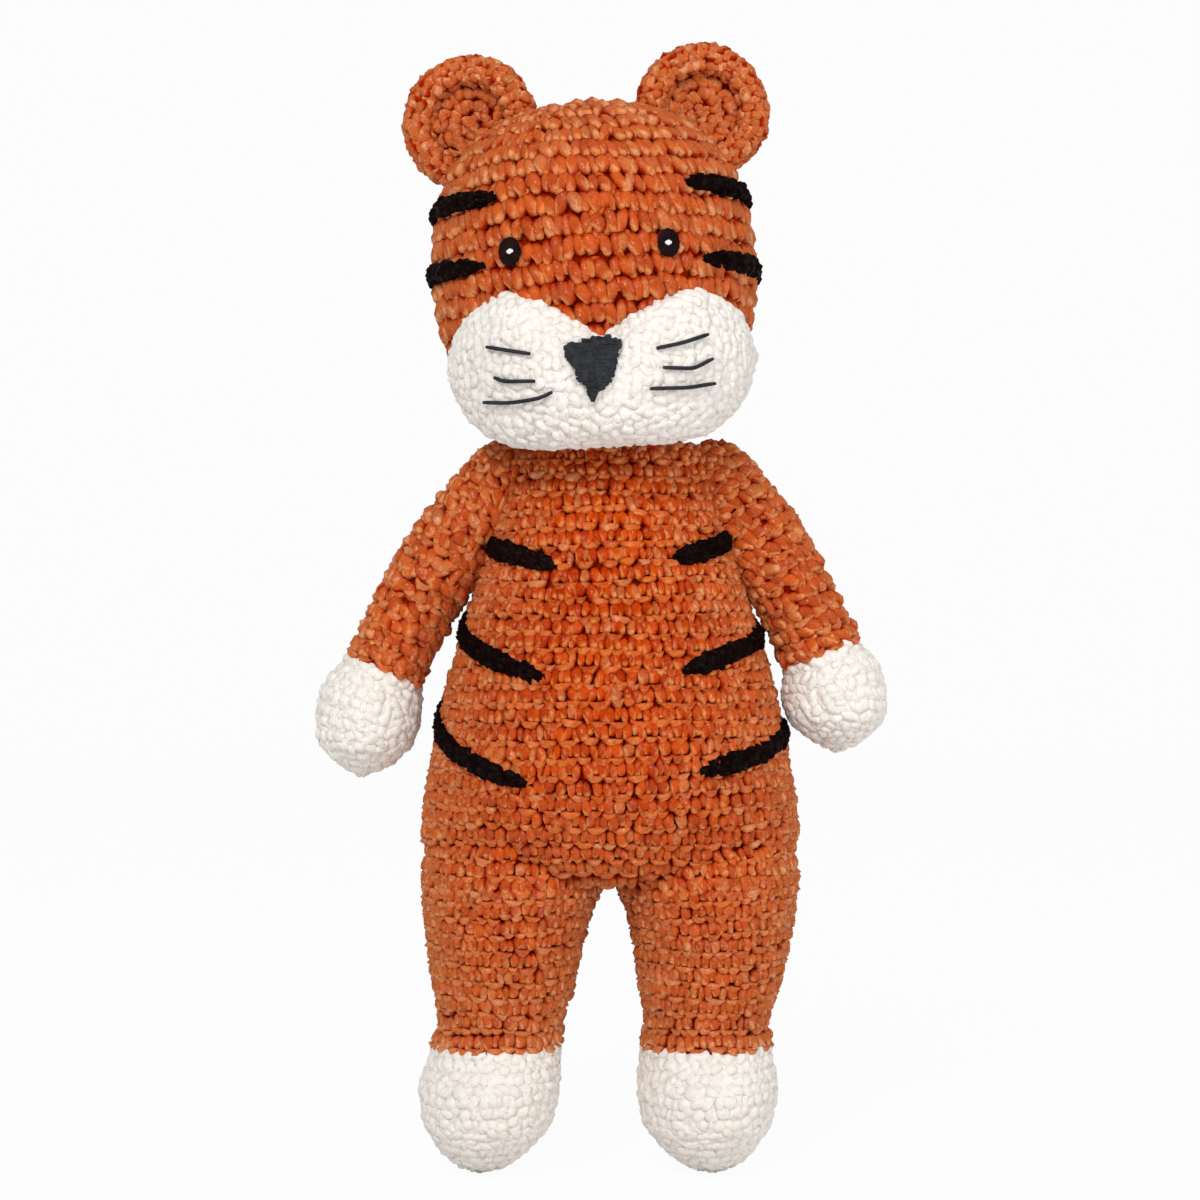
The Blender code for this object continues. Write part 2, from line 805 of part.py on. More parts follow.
def make_muzzle(frame, head_seat):
    muzzle = make_skin(add_piece("muzzle", muzzle_form(), frame, "white_yarn"), muzzle_fabric)
    cut(muzzle, head_seat)
    filling = swell(add_piece("muzzle_stuffing", muzzle_form(), frame, "stuffing"),
                    -muzzle_fabric - fit_gap)
    cut(filling, head_seat)
    seat = swell(add_cutter("muzzle_seat", muzzle_form(), frame), fit_gap)
    make_nose(frame, seat)
    for side, sign in SIDES:
        for row, (inner, outer) in enumerate(whisker_shares[side]):
            points = []
            for i in range(whisker_points):
                t = i / (whisker_points - 1)
                share = sign * (inner[0] + (outer[0] - inner[0]) * t)
                height = inner[1] + (outer[1] - inner[1]) * t
                points.append(muzzle_point(share, height, thread_radius * thread_lift_share))
            thread = tube_mesh(points, thread_radius)
            name = "whisker_%s_%d" % (side, row + 1)
            cut(add_piece(name, thread, frame, "dark_thread"), seat)


def make_nose(frame, seat):
    """A satin-stitched pad that follows the front of the muzzle, with a short stem below it."""
    outline = bpy.data.curves.new("nose", "CURVE")
    outline.dimensions = "2D"
    outline.fill_mode = "BOTH"
    outline.extrude = muzzle_depth
    spline = outline.splines.new("POLY")
    spline.use_cyclic_u = True
    spline.points.add(len(nose_outline_share) - 1)
    for i, (across, up) in enumerate(nose_outline_share):
        spline.points[i].co = (nose_half_width * across, nose_height * up, 0, 1)
    prism = curve_to_mesh(outline)
    upright = Matrix.Rotation(math.pi / 2, 4, "X")
    place = Vector((head_shift + nose_shift, -muzzle_forward - muzzle_depth, head_rise - nose_top))
    prism.transform(Matrix.Translation(place) @ upright)
    face = swell(add_cutter("nose_face", muzzle_form(), frame), fit_gap + nose_thickness)
    nose = add_piece("nose", prism, frame, "dark_thread")
    cut(nose, face, "INTERSECT")
    cut(nose, seat)
    middle = (nose_shift - muzzle_shift) / muzzle_half_width
    top = (muzzle_drop - nose_top - nose_height - fit_gap * 2) / muzzle_half_height
    low = top - nose_stem_length / muzzle_half_height
    points = []
    for i in range(stem_points):
        height = top + (low - top) * i / (stem_points - 1)
        points.append(muzzle_point(middle, height, thread_radius * thread_lift_share))
    stem = add_piece("nose_stem", tube_mesh(points, thread_radius), frame, "dark_thread")
    cut(stem, seat)


def make_eyes(frame, head_seat):
    outer = swell(add_cutter("eye_face", head_form(), frame), fit_gap + eye_thickness)
    knot_seat = swell(add_cutter("glint_seat", head_form(), frame), fit_gap * 2 + eye_thickness)
    knot_face = swell(add_cutter("glint_face", head_form(), frame),
                      fit_gap * 2 + eye_thickness + glint_thickness)
    for side, sign in SIDES:
        across = head_shift + eye_shift + sign * eye_offset
        place = Vector((across, -head_half_depth, head_rise + eye_rise))
        eye = add_piece("eye_" + side, pin_mesh(eye_half_width, eye_half_height, place), frame,
                        "dark_thread")
        cut(cut(eye, outer, "INTERSECT"), head_seat)
        knot = pin_mesh(glint_radius, glint_radius, place)
        glint = add_piece("eye_glint_" + side, knot, frame, "white_thread")
        cut(cut(glint, knot_face, "INTERSECT"), knot_seat)


def pin_mesh(half_width, half_height, place):
    """An oval rod that points forward through a place on the face."""
    bm = bmesh.new()
    length = head_half_depth
    bmesh.ops.create_cone(bm, cap_ends=True, segments=pin_sides, radius1=1.0, radius2=1.0,
                          depth=1.0)
    bmesh.ops.scale(bm, vec=(half_width, half_height, length), verts=bm.verts)
    mesh = bpy.data.meshes.new("pin")
    bm.to_mesh(mesh)
    bm.free()
    mesh.transform(Matrix.Translation(place) @ Matrix.Rotation(math.pi / 2, 4, "X"))
    return mesh


def ear_mesh():
    """A cupped disc with a thick rim, turned round its own axis, which points out of the cup."""
    rim = ear_radius - ear_rim_radius
    top = ear_thickness - ear_rim_radius
    profile = [(0, ear_floor), (rim * ear_floor_share, ear_floor),
               (rim * ear_slope_share, (ear_floor + top) / 2)]
    first, last = ear_rim_angles
    for i in range(ear_rim_steps + 1):
        angle = math.radians(first + (last - first) * i / ear_rim_steps)
        profile.append((rim + ear_rim_radius * math.cos(angle), top + ear_rim_radius * math.sin(angle)))
    profile.append((rim * ear_back_share, ear_rim_radius * ear_back_rise_share))
    profile += [(rim * ear_floor_share, 0), (0, 0)]
    bm = bmesh.new()
    verts = [bm.verts.new((x, 0, z)) for x, z in profile]
    for a, b in zip(verts, verts[1:]):
        bm.edges.new((a, b))
    mesh = bpy.data.meshes.new("ear")
    bm.to_mesh(mesh)
    bm.free()
    return mesh


def make_ears(frame, head_seat):
    for side, sign in SIDES:
        ear = add_piece("ear_" + side, ear_mesh(), frame, "orange_yarn")
        ear.location = (head_shift + sign * ear_offset, ear_thickness / 2, head_rise + ear_rise)
        ear.rotation_euler = (math.pi / 2, 0, sign * ear_turn)
        turn = ear.modifiers.new("turn", "SCREW")
        turn.axis = "Z"
        turn.steps = ear_sides
        turn.render_steps = ear_sides
        turn.use_merge_vertices = True
        turn.merge_threshold = weld_distance
        cut(ear, head_seat)


def make_neck_seam():
    """The ring of yarn that sews the head to the top of the body."""
    frame = add_frame("neck", (0, 0, hip_height + body_height), base)
    middle = (neck_radius + neck_socket_radius) / 2
    mesh = torus_mesh(middle * math.cos(seam_lift), seam_radius, neck_seam_facets)
    mesh.transform(Matrix.Translation((0, 0, middle * math.sin(seam_lift))))
    add_piece("neck_seam", mesh, frame, "orange_yarn")
    return frame


clear_scene()
toy = new_collection("plush_tiger")
cutters = new_collection("cutters")
materials = {name: new_material(name, colour) for name, colour in yarn_colours.items()}
base = add_frame("body_middle", (*body_place, 0), None)
body_sockets = make_body_sockets()
make_body()
make_legs()
make_arms()
make_tail()
make_head(make_neck_seam())
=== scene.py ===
import json
import math

import bmesh
import bpy
import numpy as np
from mathutils import Matrix, Vector

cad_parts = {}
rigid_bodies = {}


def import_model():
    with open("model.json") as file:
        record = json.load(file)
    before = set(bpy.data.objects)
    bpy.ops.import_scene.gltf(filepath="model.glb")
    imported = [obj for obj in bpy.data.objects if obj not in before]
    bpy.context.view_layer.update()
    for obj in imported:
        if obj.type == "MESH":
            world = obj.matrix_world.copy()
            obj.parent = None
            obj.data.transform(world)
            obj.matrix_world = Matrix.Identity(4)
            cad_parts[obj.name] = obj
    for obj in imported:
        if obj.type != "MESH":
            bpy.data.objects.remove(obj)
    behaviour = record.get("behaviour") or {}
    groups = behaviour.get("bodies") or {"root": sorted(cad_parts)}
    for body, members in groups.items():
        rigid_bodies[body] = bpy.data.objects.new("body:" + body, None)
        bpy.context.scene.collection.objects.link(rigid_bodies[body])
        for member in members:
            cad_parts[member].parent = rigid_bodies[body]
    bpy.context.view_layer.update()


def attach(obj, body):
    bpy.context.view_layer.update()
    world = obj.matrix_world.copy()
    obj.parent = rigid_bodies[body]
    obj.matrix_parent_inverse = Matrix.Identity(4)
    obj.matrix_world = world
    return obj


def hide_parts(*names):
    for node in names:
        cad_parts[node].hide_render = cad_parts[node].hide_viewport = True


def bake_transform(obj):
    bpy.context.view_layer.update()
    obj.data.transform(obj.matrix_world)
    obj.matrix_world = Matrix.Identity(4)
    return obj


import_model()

# The toy stands a little off the origin, because its paws and tail count in its middle
standing = {"x": 0.0033, "y": -0.0048}
sides = (("left", 1), ("right", -1))


# Forms told as rings

def through(stops, rows):
    # a smooth line through rows of numbers, one at each stop, that never overshoots
    stops = np.asarray(stops, float)
    rows = np.asarray(rows, float)
    gap = np.diff(stops)[:, None]
    rise = np.diff(rows, axis=0) / gap
    slope = np.zeros_like(rows)
    slope[0], slope[-1] = rise[0], rise[-1]
    before, after = rise[:-1], rise[1:]
    wideA, wideB = 2 * gap[1:] + gap[:-1], gap[1:] + 2 * gap[:-1]
    same = before * after > 0
    safeA, safeB = np.where(same, before, 1.0), np.where(same, after, 1.0)
    slope[1:-1] = np.where(same, (wideA + wideB) / (wideA / safeA + wideB / safeB), 0.0)

    def at(place):
        place = np.clip(np.atleast_1d(place), stops[0], stops[-1])
        i = np.clip(np.searchsorted(stops, place) - 1, 0, len(gap) - 1)
        h = gap[i]
        t = ((place - stops[i]) / gap[i, 0])[:, None]
        start = rows[i] * (1 + 2 * t) * (1 - t) ** 2 + slope[i] * h * t * (1 - t) ** 2
        return start + rows[i + 1] * t ** 2 * (3 - 2 * t) - slope[i + 1] * h * t ** 2 * (1 - t)

    return at


def rowLine(rows):
    # a smooth line through rows that begin with their stops
    return through([row[0] for row in rows], [row[1:] for row in rows])


# How finely forms are measured
fine = {"along": 800, "rows": 300, "ways": 8, "firstWay": 0.2, "round": 121, "step": 0.0006, "turn": 0.02}
# How freely the rounds of stitches run, in shares of a stitch or a row, and how a pointed end is closed
wander = {"drift": 0.42, "driftChange": 0.1, "stray": 0.05, "wave": 0.12, "waves": 3, "waveShift": 0.6,
          "climb": 0.3, "tight": 0.45, "closeBelow": 0.0005, "closeAngle": 0.3, "closeFit": 0.8}


def unit(v):
    return v / np.maximum(np.linalg.norm(v, axis=-1, keepdims=True), 1e-12)


class Form:
    # a stuffed form told as rings from one end to the other: middle, half axis, half axis

    def __init__(self, rings, place):
        data = np.array([np.concatenate([np.asarray(part, float) for part in ring]) for ring in rings])
        wide = np.linalg.norm(data[:, 3:6], axis=1)
        deep = np.linalg.norm(data[:, 6:9], axis=1)
        step = (np.diff(data[:, :3], axis=0) ** 2).sum(1)
        step = step + (np.diff(wide) ** 2 + np.diff(deep) ** 2) / 2
        self.stops = np.concatenate([[0.0], np.cumsum(np.sqrt(step))])
        self.line = through(self.stops, data)
        self.place = np.array(place)
        s, angle = self.stops[[np.argmax(wide)]], np.array([wander["closeAngle"]])
        out = np.cross(*self.slopes(s, angle))
        outward = (out * (self.rawPoints(s, angle) - self.line(s)[:, :3])).sum()
        self.side = 1.0 if outward > 0 else -1.0

    def rawPoints(self, s, angle):
        data = self.line(s)
        across = data[:, 3:6] * np.cos(angle)[:, None]
        return data[:, :3] + across + data[:, 6:9] * np.sin(angle)[:, None]

    def slopes(self, s, angle):
        turn = self.rawPoints(s, angle + fine["turn"]) - self.rawPoints(s, angle - fine["turn"])
        rise = self.rawPoints(s + fine["step"], angle) - self.rawPoints(s - fine["step"], angle)
        return turn, rise

    def points(self, s, angle, lift=0.0):
        # places on the form, lifted off it, with the ways out of it and along it
        turn, rise = self.slopes(s, angle)
        out = unit(np.cross(turn, rise)) * self.side
        spot = self.rawPoints(s, angle) + out * lift
        move = self.place[:3, :3]
        return spot @ move.T + self.place[:3, 3], out @ move.T, unit(rise) @ move.T

    def at(self, height):
        # how far along the form its middle line reaches a height
        places = np.linspace(self.stops[0], self.stops[-1], fine["along"])
        return float(places[np.argmin(np.abs(self.line(places)[:, 2] - height))])

    def rows(self, pitch, low, high):
        # where the rounds lie between two places, and how far apart they really are
        samples = fine["rows"]
        places = np.linspace(low, high, samples)
        length = np.zeros(samples - 1)
        for angle in np.arange(fine["ways"]) * 2 * math.pi / fine["ways"] + fine["firstWay"]:
            ring = self.rawPoints(places, np.full(samples, angle))
            length += np.linalg.norm(np.diff(ring, axis=0), axis=1) / fine["ways"]
        total = np.concatenate([[0.0], np.cumsum(length)])
        count = max(1, round(total[-1] / pitch))
        return np.interp((np.arange(count) + 0.5) * total[-1] / count, total, places), total[-1] / count

    def stitchGuide(self, work, low, high, sign=0):
        # where each stitch sits, which way it faces and how much it is stretched to fit
        chance = np.random.default_rng(work["firstSeed"] + sign)
        pitch, width = work["pitch"], work["width"]
        rounds = []

        def lay(level, angle, fit):
            spot, out, up = self.points(level, angle, -work["inset"])
            rounds.append((spot, out, up * work["up"], np.tile(fit, (len(spot), 1))))

        places, real = self.rows(pitch, low, high)
        climb = (high - low) / len(places)
        drift = chance.random()
        turn = np.linspace(0, 2 * math.pi, fine["round"])
        for row, s in enumerate(places):
            ring = self.rawPoints(np.full(len(turn), s), turn)
            arc = np.concatenate([[0.0], np.cumsum(np.linalg.norm(np.diff(ring, axis=0), axis=1))])
            count = max(4, round(arc[-1] / width))
            drift += wander["drift"] + wander["driftChange"] * chance.random()
            start = np.arange(count) + drift + chance.normal(0, wander["stray"], count)
            angle = np.interp(start / count % 1.0 * arc[-1], arc, turn)
            # rounds that climb and wander a little, each much as the one under it
            wave = wander["wave"] * np.sin(angle * wander["waves"] + row * wander["waveShift"])
            wave = wave + chance.normal(0, wander["stray"], count)
            share = wander["climb"] * angle / (2 * math.pi) - wander["climb"] / 2 + wave
            wide = arc[-1] / count / width
            tight = min(1.0, wander["tight"] + (1 - wander["tight"]) * wide)
            lay(np.clip(s + climb * share, low, high), angle, (wide, real / pitch * tight, tight))
        for s in (low, high):
            # a last stitch closes each end that comes to a point
            if np.linalg.norm(self.line(s)[0, 3:6]) < wander["closeBelow"]:
                lay(np.array([s]), np.array([wander["closeAngle"]]), [wander["closeFit"]] * 3)
        return [np.concatenate(part) for part in zip(*rounds)]

    def skin(self, work, low, high):
        # the closed cloth under the stitches, as points and faces
        ringCount, sideCount = work["grid"]
        levels = np.linspace(low, high, ringCount)
        angle = np.arange(sideCount) * 2 * math.pi / sideCount
        points = []
        for s in levels:
            points += list(self.points(np.full(sideCount, s), angle, -work["clothInset"])[0])
        for s in (levels[0], levels[-1]):
            middle = self.line(s)[0, :3]
            points.append(self.place[:3, :3] @ middle + self.place[:3, 3])
        faces = []
        for i in range(ringCount - 1):
            for k in range(sideCount):
                a, b = i * sideCount + k, i * sideCount + (k + 1) % sideCount
                faces.append((a, b, b + sideCount, a + sideCount))
        last = (ringCount - 1) * sideCount
        for k in range(sideCount):
            after = (k + 1) % sideCount
            faces.append((after, k, ringCount * sideCount))
            faces.append((last + k, last + after, ringCount * sideCount + 1))
        return points, faces


def meshOf(name, points, faces):
    mesh = bpy.data.meshes.new(name)
    mesh.from_pydata([tuple(p) for p in points], [], faces)
    bm = bmesh.new()
    bm.from_mesh(mesh)
    bmesh.ops.recalc_face_normals(bm, faces=bm.faces)
    bm.to_mesh(mesh)
    bm.free()
    mesh.shade_smooth()
    return mesh


def addPiece(name, mesh):
    piece = bpy.data.objects.new(name, mesh)
    bpy.context.scene.collection.objects.link(piece)
    return piece


def mark(mesh, label, kind, values):
    # stores numbers or vectors on a mesh's points
    field, form = {"FLOAT": ("value", np.float32), "INT": ("value", np.int32),
                   "FLOAT_VECTOR": ("vector", np.float32)}[kind]
    mesh.attributes.new(label, kind, "POINT").data.foreach_set(field, np.asarray(values, form).ravel())


def vectors(points, field):
    # the places or normals of a mesh's points, as rows
    flat = np.zeros(len(points) * 3)
    points.foreach_get(field, flat)
    return flat.reshape(-1, 3)


def dress(piece, bodyName, nodes):
    # says what carries a piece, if anything, and hides the solids that it stands for
    if bodyName:
        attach(piece, bodyName)
    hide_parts(*nodes)


# Node trees, for shaders and for geometry

class Value:
    # a number that runs through a node tree, so that sums on it read as sums

    def __init__(self, maker, socket):
        self.maker = maker
        self.socket = socket

    def math(self, operation, *parts):
        made = self.maker.node("ShaderNodeMath", {"operation": operation}, dict(enumerate(parts)))
        return self.maker.value(made)

    def __add__(self, other):
        return self.math("ADD", self, other)

    def __sub__(self, other):
        return self.math("SUBTRACT", self, other)

    def __rsub__(self, other):
        return self.math("SUBTRACT", other, self)

    def __mul__(self, other):
        return self.math("MULTIPLY", self, other)

    # a sum and a product are the same from either side
    __radd__, __rmul__ = __add__, __mul__

    def between(self, low, high):
        # 0 below low, 1 above high, and a soft step between
        made = self.maker.node("ShaderNodeMapRange", {"interpolation_type": "SMOOTHSTEP"},
                               {"Value": self, "From Min": low, "From Max": high})
        return self.maker.value(made)


class Maker:
    # puts nodes in a tree, with their settings first and then their inputs

    def __init__(self, tree):
        self.tree = tree

    def node(self, kind, settings=None, inputs=None):
        made = self.tree.nodes.new(kind)
        for name, setting in (settings or {}).items():
            setattr(made, name, setting)
        self.feed(made, inputs or {})
        return made

    def feed(self, made, inputs):
        # gives a node's sockets their links or values
        for name, given in inputs.items():
            given = given.socket if isinstance(given, Value) else given
            if isinstance(given, bpy.types.NodeSocket):
                self.tree.links.new(given, made.inputs[name])
            else:
                made.inputs[name].default_value = given

    def value(self, made, output=0):
        return Value(self, made.outputs[output])

    def mix(self, factor, first, second):
        first, second = [(*one, 1.0) if isinstance(one, tuple) else one for one in (first, second)]
        made = self.node("ShaderNodeMix", {"data_type": "RGBA"}, {0: factor, 6: first, 7: second})
        return made.outputs[2]

    def noise(self, scale, detail, roughness=0.5):
        where = self.node("ShaderNodeTexCoord").outputs["Object"]
        made = self.node("ShaderNodeTexNoise", {}, {"Vector": where, "Scale": scale, "Detail": detail,
                                                    "Roughness": roughness})
        return self.value(made, "Fac")

    def attribute(self, name):
        return self.value(self.node("ShaderNodeAttribute", {"attribute_name": name}), "Fac")

    def stored(self, name, kind):
        made = self.node("GeometryNodeInputNamedAttribute", {"data_type": kind}, {"Name": name})
        return made.outputs["Attribute"]


def newMaterial(name):
    material = bpy.data.materials.new(name)
    material.use_nodes = True
    return material, Maker(material.node_tree), material.node_tree.nodes["Principled BSDF"]


# What all chenille shares, and all cotton thread
chenille = {
    # patches a metre, detail and roughness of each noise
    "pile": (800.0, 4.0, 0.65), "speck": (900.0, 1.0), "clump": (330.0, 2.0), "blotchDetail": 3.0,
    # where each soft step begins and ends
    "warmStep": (0.33, 0.66), "fleckStep": (0.52, 0.72), "deepStep": (0.1, 0.9), "paintedHighlightStep": (0.735, 0.78),
    "glintStep": (0.47, 0.60),
    "rough": 0.92, "paintedHighlightGloss": 0.3, "bumpDistance": 0.0022, "sheenRough": 0.5,
    "sheenTint": (1.0, 0.99, 0.97, 1.0),
}
cotton = {
    "fuzz": (2600.0, 3.0, 0.6), "patch": (300.0, 2.0), "shadeStep": (0.35, 0.7), "rough": 0.72,
    "fuzzRough": 0.2, "bump": 0.4, "bumpDistance": 0.0003,
}
# Of each yarn: dark and bright are its own tones, pale its paler pile (painted sheen where the work turns
# aside, and paler pieces and patches), rim and rimPale the painted sheen on puff edges, deep the painted
# shade in creases, and the small pale specks are painted highlights
yarns = {
    "orange": {
        "dark": (0.42, 0.024, 0.0006), "bright": (0.66, 0.075, 0.003), "deep": (0.37, 0.015, 0.0004),
        "rim": (0.90, 0.29, 0.070), "rimPale": (0.88, 0.385, 0.170), "pale": (0.68, 0.250, 0.080),
        "paintedHighlight": (1.0, 0.66, 0.44), "paleMost": 0.60, "rimFrom": 0.20, "rimTo": 0.80, "rimMost": 0.80,
        "fleckMost": 0.12, "deepMost": 1.0, "paintedHighlightMost": 0.7, "blotchScale": 90.0, "bump": 0.8,
        "sheen": 0.0, "specular": 0.0, "coat": 0.45, "coatRough": 0.20,
    },
    "white": {
        "dark": (0.84, 0.79, 0.725), "bright": (0.90, 0.865, 0.81), "deep": (0.80, 0.735, 0.66),
        "rim": (0.925, 0.905, 0.88), "rimPale": (0.92, 0.895, 0.865), "pale": (0.89, 0.845, 0.785),
        "paintedHighlight": (0.97, 0.955, 0.93), "paleMost": 0.3, "rimFrom": 0.2, "rimTo": 0.9, "rimMost": 0.7,
        "fleckMost": 0.3, "deepMost": 0.5, "paintedHighlightMost": 0.5, "blotchScale": 70.0, "bump": 0.5,
        "sheen": 0.10, "specular": 0.05, "coat": 0.06, "coatRough": 0.3,
    },
    "black": {
        "dark": (0.0032, 0.0006, 0.0006), "bright": (0.0095, 0.0022, 0.0018),
        "deep": (0.0010, 0.0002, 0.0002), "rim": (0.020, 0.009, 0.009), "rimPale": (0.022, 0.014, 0.014),
        "pale": (0.005, 0.002, 0.002), "paintedHighlight": (0.12, 0.09, 0.08), "paleMost": 0.3,
        "rimFrom": 0.4, "rimTo": 1.0, "rimMost": 0.4, "fleckMost": 0.3, "deepMost": 0.8,
        "paintedHighlightMost": 0.6, "blotchScale": 90.0, "bump": 0.8,
        "sheen": 0.0, "specular": 0.03, "coat": 0.10, "coatRough": 0.28,
    },
}
threads = {
    "charcoal": {"dark": (0.011, 0.012, 0.015), "bright": (0.040, 0.042, 0.050), "specular": 0.2},
    "eye": {"dark": (0.0050, 0.0020, 0.0020), "bright": (0.024, 0.0085, 0.0085), "specular": 0.06},
    "white": {"dark": (0.75, 0.74, 0.73), "bright": (0.92, 0.91, 0.90), "specular": 0.2},
}


def yarnMaterial(name, look):
    # chenille: a saturated middle on each lobe, painted sheen that turns its edges pale, dark painted shade
    # in its creases, and small painted highlights
    material, make, surface = newMaterial(name)
    blotch = make.noise(look["blotchScale"], chenille["blotchDetail"])
    pile, speck, clump = [make.noise(*chenille[label]) for label in ("pile", "speck", "clump")]
    tint, rim, deep, side = [make.attribute(label) for label in ("tint", "rim", "deep", "pale")]
    warmth = (blotch * 0.5 + pile * 0.3 + tint * 0.2).between(*chenille["warmStep"])
    colour = make.mix(warmth, look["dark"], look["bright"])
    # paler pile by the 'pale' number: painted sheen where the work turns aside, with each piece's own
    # paleness, paler pile lower down and pale puffs at random
    colour = make.mix(side * (0.2 + pile + clump * 0.4) * look["paleMost"], colour, look["pale"])
    # painted sheen along each puff's edge and over the bent puffs, paler still where the work turns aside
    paintedSheenColour = make.mix(side, look["rim"], look["rimPale"])
    edge = (rim * (0.25 + pile * 0.7 + clump * 0.8)).between(look["rimFrom"], look["rimTo"])
    colour = make.mix(edge * look["rimMost"], colour, paintedSheenColour)
    # pale flecks of pile at random, in the colour of the painted-sheen edges
    colour = make.mix(pile.between(*chenille["fleckStep"]) * look["fleckMost"], colour, paintedSheenColour)
    # painted shade: a darker, deeper colour in the creases and on the cloth between puffs
    colour = make.mix(deep.between(*chenille["deepStep"]) * look["deepMost"], colour, look["deep"])
    # painted highlights: small pale specks outside the creases, a little glossier than the rest
    paintedHighlight = speck.between(*chenille["paintedHighlightStep"]) * (1 - deep) * look["paintedHighlightMost"]
    bump = make.node("ShaderNodeBump", {}, {
        "Strength": look["bump"], "Distance": chenille["bumpDistance"], "Height": pile * 0.7 + speck * 0.3})
    make.feed(surface, {
        "Base Color": make.mix(paintedHighlight, colour, look["paintedHighlight"]), "Normal": bump.outputs[0],
        "Roughness": chenille["rough"] - paintedHighlight * chenille["paintedHighlightGloss"],
        "Specular IOR Level": look["specular"], "Sheen Weight": look["sheen"],
        "Sheen Roughness": chenille["sheenRough"], "Sheen Tint": chenille["sheenTint"],
        # small glints, on some of the crests only
        "Coat Weight": (1 - deep) * clump.between(*chenille["glintStep"]) * look["coat"],
        "Coat Roughness": look["coatRough"]})
    return material


def threadMaterial(name, look):
    # cotton thread: fine twist along each strand, faint gloss
    material, make, surface = newMaterial(name)
    fuzz, patch = make.noise(*cotton["fuzz"]), make.noise(*cotton["patch"])
    shade = (fuzz * 0.6 + patch * 0.4).between(*cotton["shadeStep"])
    bump = make.node("ShaderNodeBump", {}, {
        "Strength": cotton["bump"], "Distance": cotton["bumpDistance"], "Height": fuzz})
    make.feed(surface, {
        "Base Color": make.mix(shade, look["dark"], look["bright"]), "Normal": bump.outputs[0],
        "Roughness": cotton["rough"] + fuzz * cotton["fuzzRough"], "Specular IOR Level": look["specular"]})
    return material


materials = {name: yarnMaterial(name + "Chenille", look) for name, look in yarns.items()}
materials.update({name + "Thread": threadMaterial(name + "Thread", look) for name, look in threads.items()})


# Crochet stitches

puff = {
    "rings": (-0.82, -0.30, 0.30, 0.82), "tip": 0.95, "sides": 8, "fullness": 2.8, "uneven": 0.10, "seed": 10,
    # how the painted sheen on the edge and the painted shade at the foot begin and grow with the way that the
    # puff faces
    "rimFrom": 0.35, "rimGain": 1.5, "footFrom": 0.76, "footOver": 0.6, "footAhead": 0.5, "rimKeeps": 0.8,
    # of each kind: bend, the way to its painted-sheen edge and its least painted sheen
    "kinds": ((0.12, (-0.55, -0.83), 0.0), (-0.12, (0.40, -0.92), 0.0), (0.0, (-0.85, -0.52), 0.0),
              (0.05, (0.7, -0.7), 0.05), (-1.2, (-1.0, 0.0), 0.38), (-0.8, (-0.95, 0.3), 0.46)),
}
# Straight puffs come first, then the bent ones that close a stitch at its lower edge
straightKinds, bentKinds = (0, 4), (4, 6)


def puffObject(name, bend, paleWay, paleLeast, seed):
    # one puff of chenille that reaches 1 each way, with its painted-sheen edge and painted-shade foot as
    # numbers
    chance = np.random.default_rng(seed)
    bm = bmesh.new()
    sideCount = puff["sides"]
    loops = []
    for t in puff["rings"]:
        loop = []
        for k in range(sideCount):
            angle = 2 * math.pi * k / sideCount
            swell = (1 - abs(t) ** puff["fullness"]) ** 0.5 * (1 + chance.normal(0, puff["uneven"]))
            across = bend * (0.5 - t ** 2) + swell * math.cos(angle)
            loop.append(bm.verts.new((across, t, swell * math.sin(angle))))
        loops.append(loop)
    for low, high in zip(loops, loops[1:]):
        for k in range(sideCount):
            after = (k + 1) % sideCount
            bm.faces.new((low[k], low[after], high[after], high[k]))
    for loop, t in ((loops[0], -puff["tip"]), (loops[-1], puff["tip"])):
        tip = bm.verts.new((-bend * 0.5, t, 0))
        for k in range(sideCount):
            bm.faces.new((loop[k], loop[(k + 1) % sideCount], tip))
    bmesh.ops.recalc_face_normals(bm, faces=bm.faces)
    mesh = bpy.data.meshes.new(name)
    bm.to_mesh(mesh)
    bm.free()
    mesh.shade_smooth()
    normal = vectors(mesh.vertices, "normal")
    # painted sheen on the side that faces paleWay; painted shade where the puff turns in towards the cloth
    # and towards its upper end, less under the sheen
    edge = normal[:, 0] * paleWay[0] + normal[:, 1] * paleWay[1]
    rim = np.clip(np.maximum(edge * puff["rimGain"] - puff["rimFrom"], paleLeast), 0, 1)
    foot = (puff["footFrom"] - normal[:, 2]) / puff["footOver"]
    foot = foot + puff["footAhead"] * np.clip(normal[:, 1], 0, 1)
    mark(mesh, "rim", "FLOAT", rim)
    mark(mesh, "deep", "FLOAT", np.clip(foot, 0, 1) * (1 - puff["rimKeeps"] * rim))
    return bpy.data.objects.new(name, mesh)


puffKinds = bpy.data.collections.new("puffKinds")
for index, (bend, paleWay, paleLeast) in enumerate(puff["kinds"]):
    puffKinds.objects.link(puffObject("puff%d" % index, bend, paleWay, paleLeast, puff["seed"] + index))

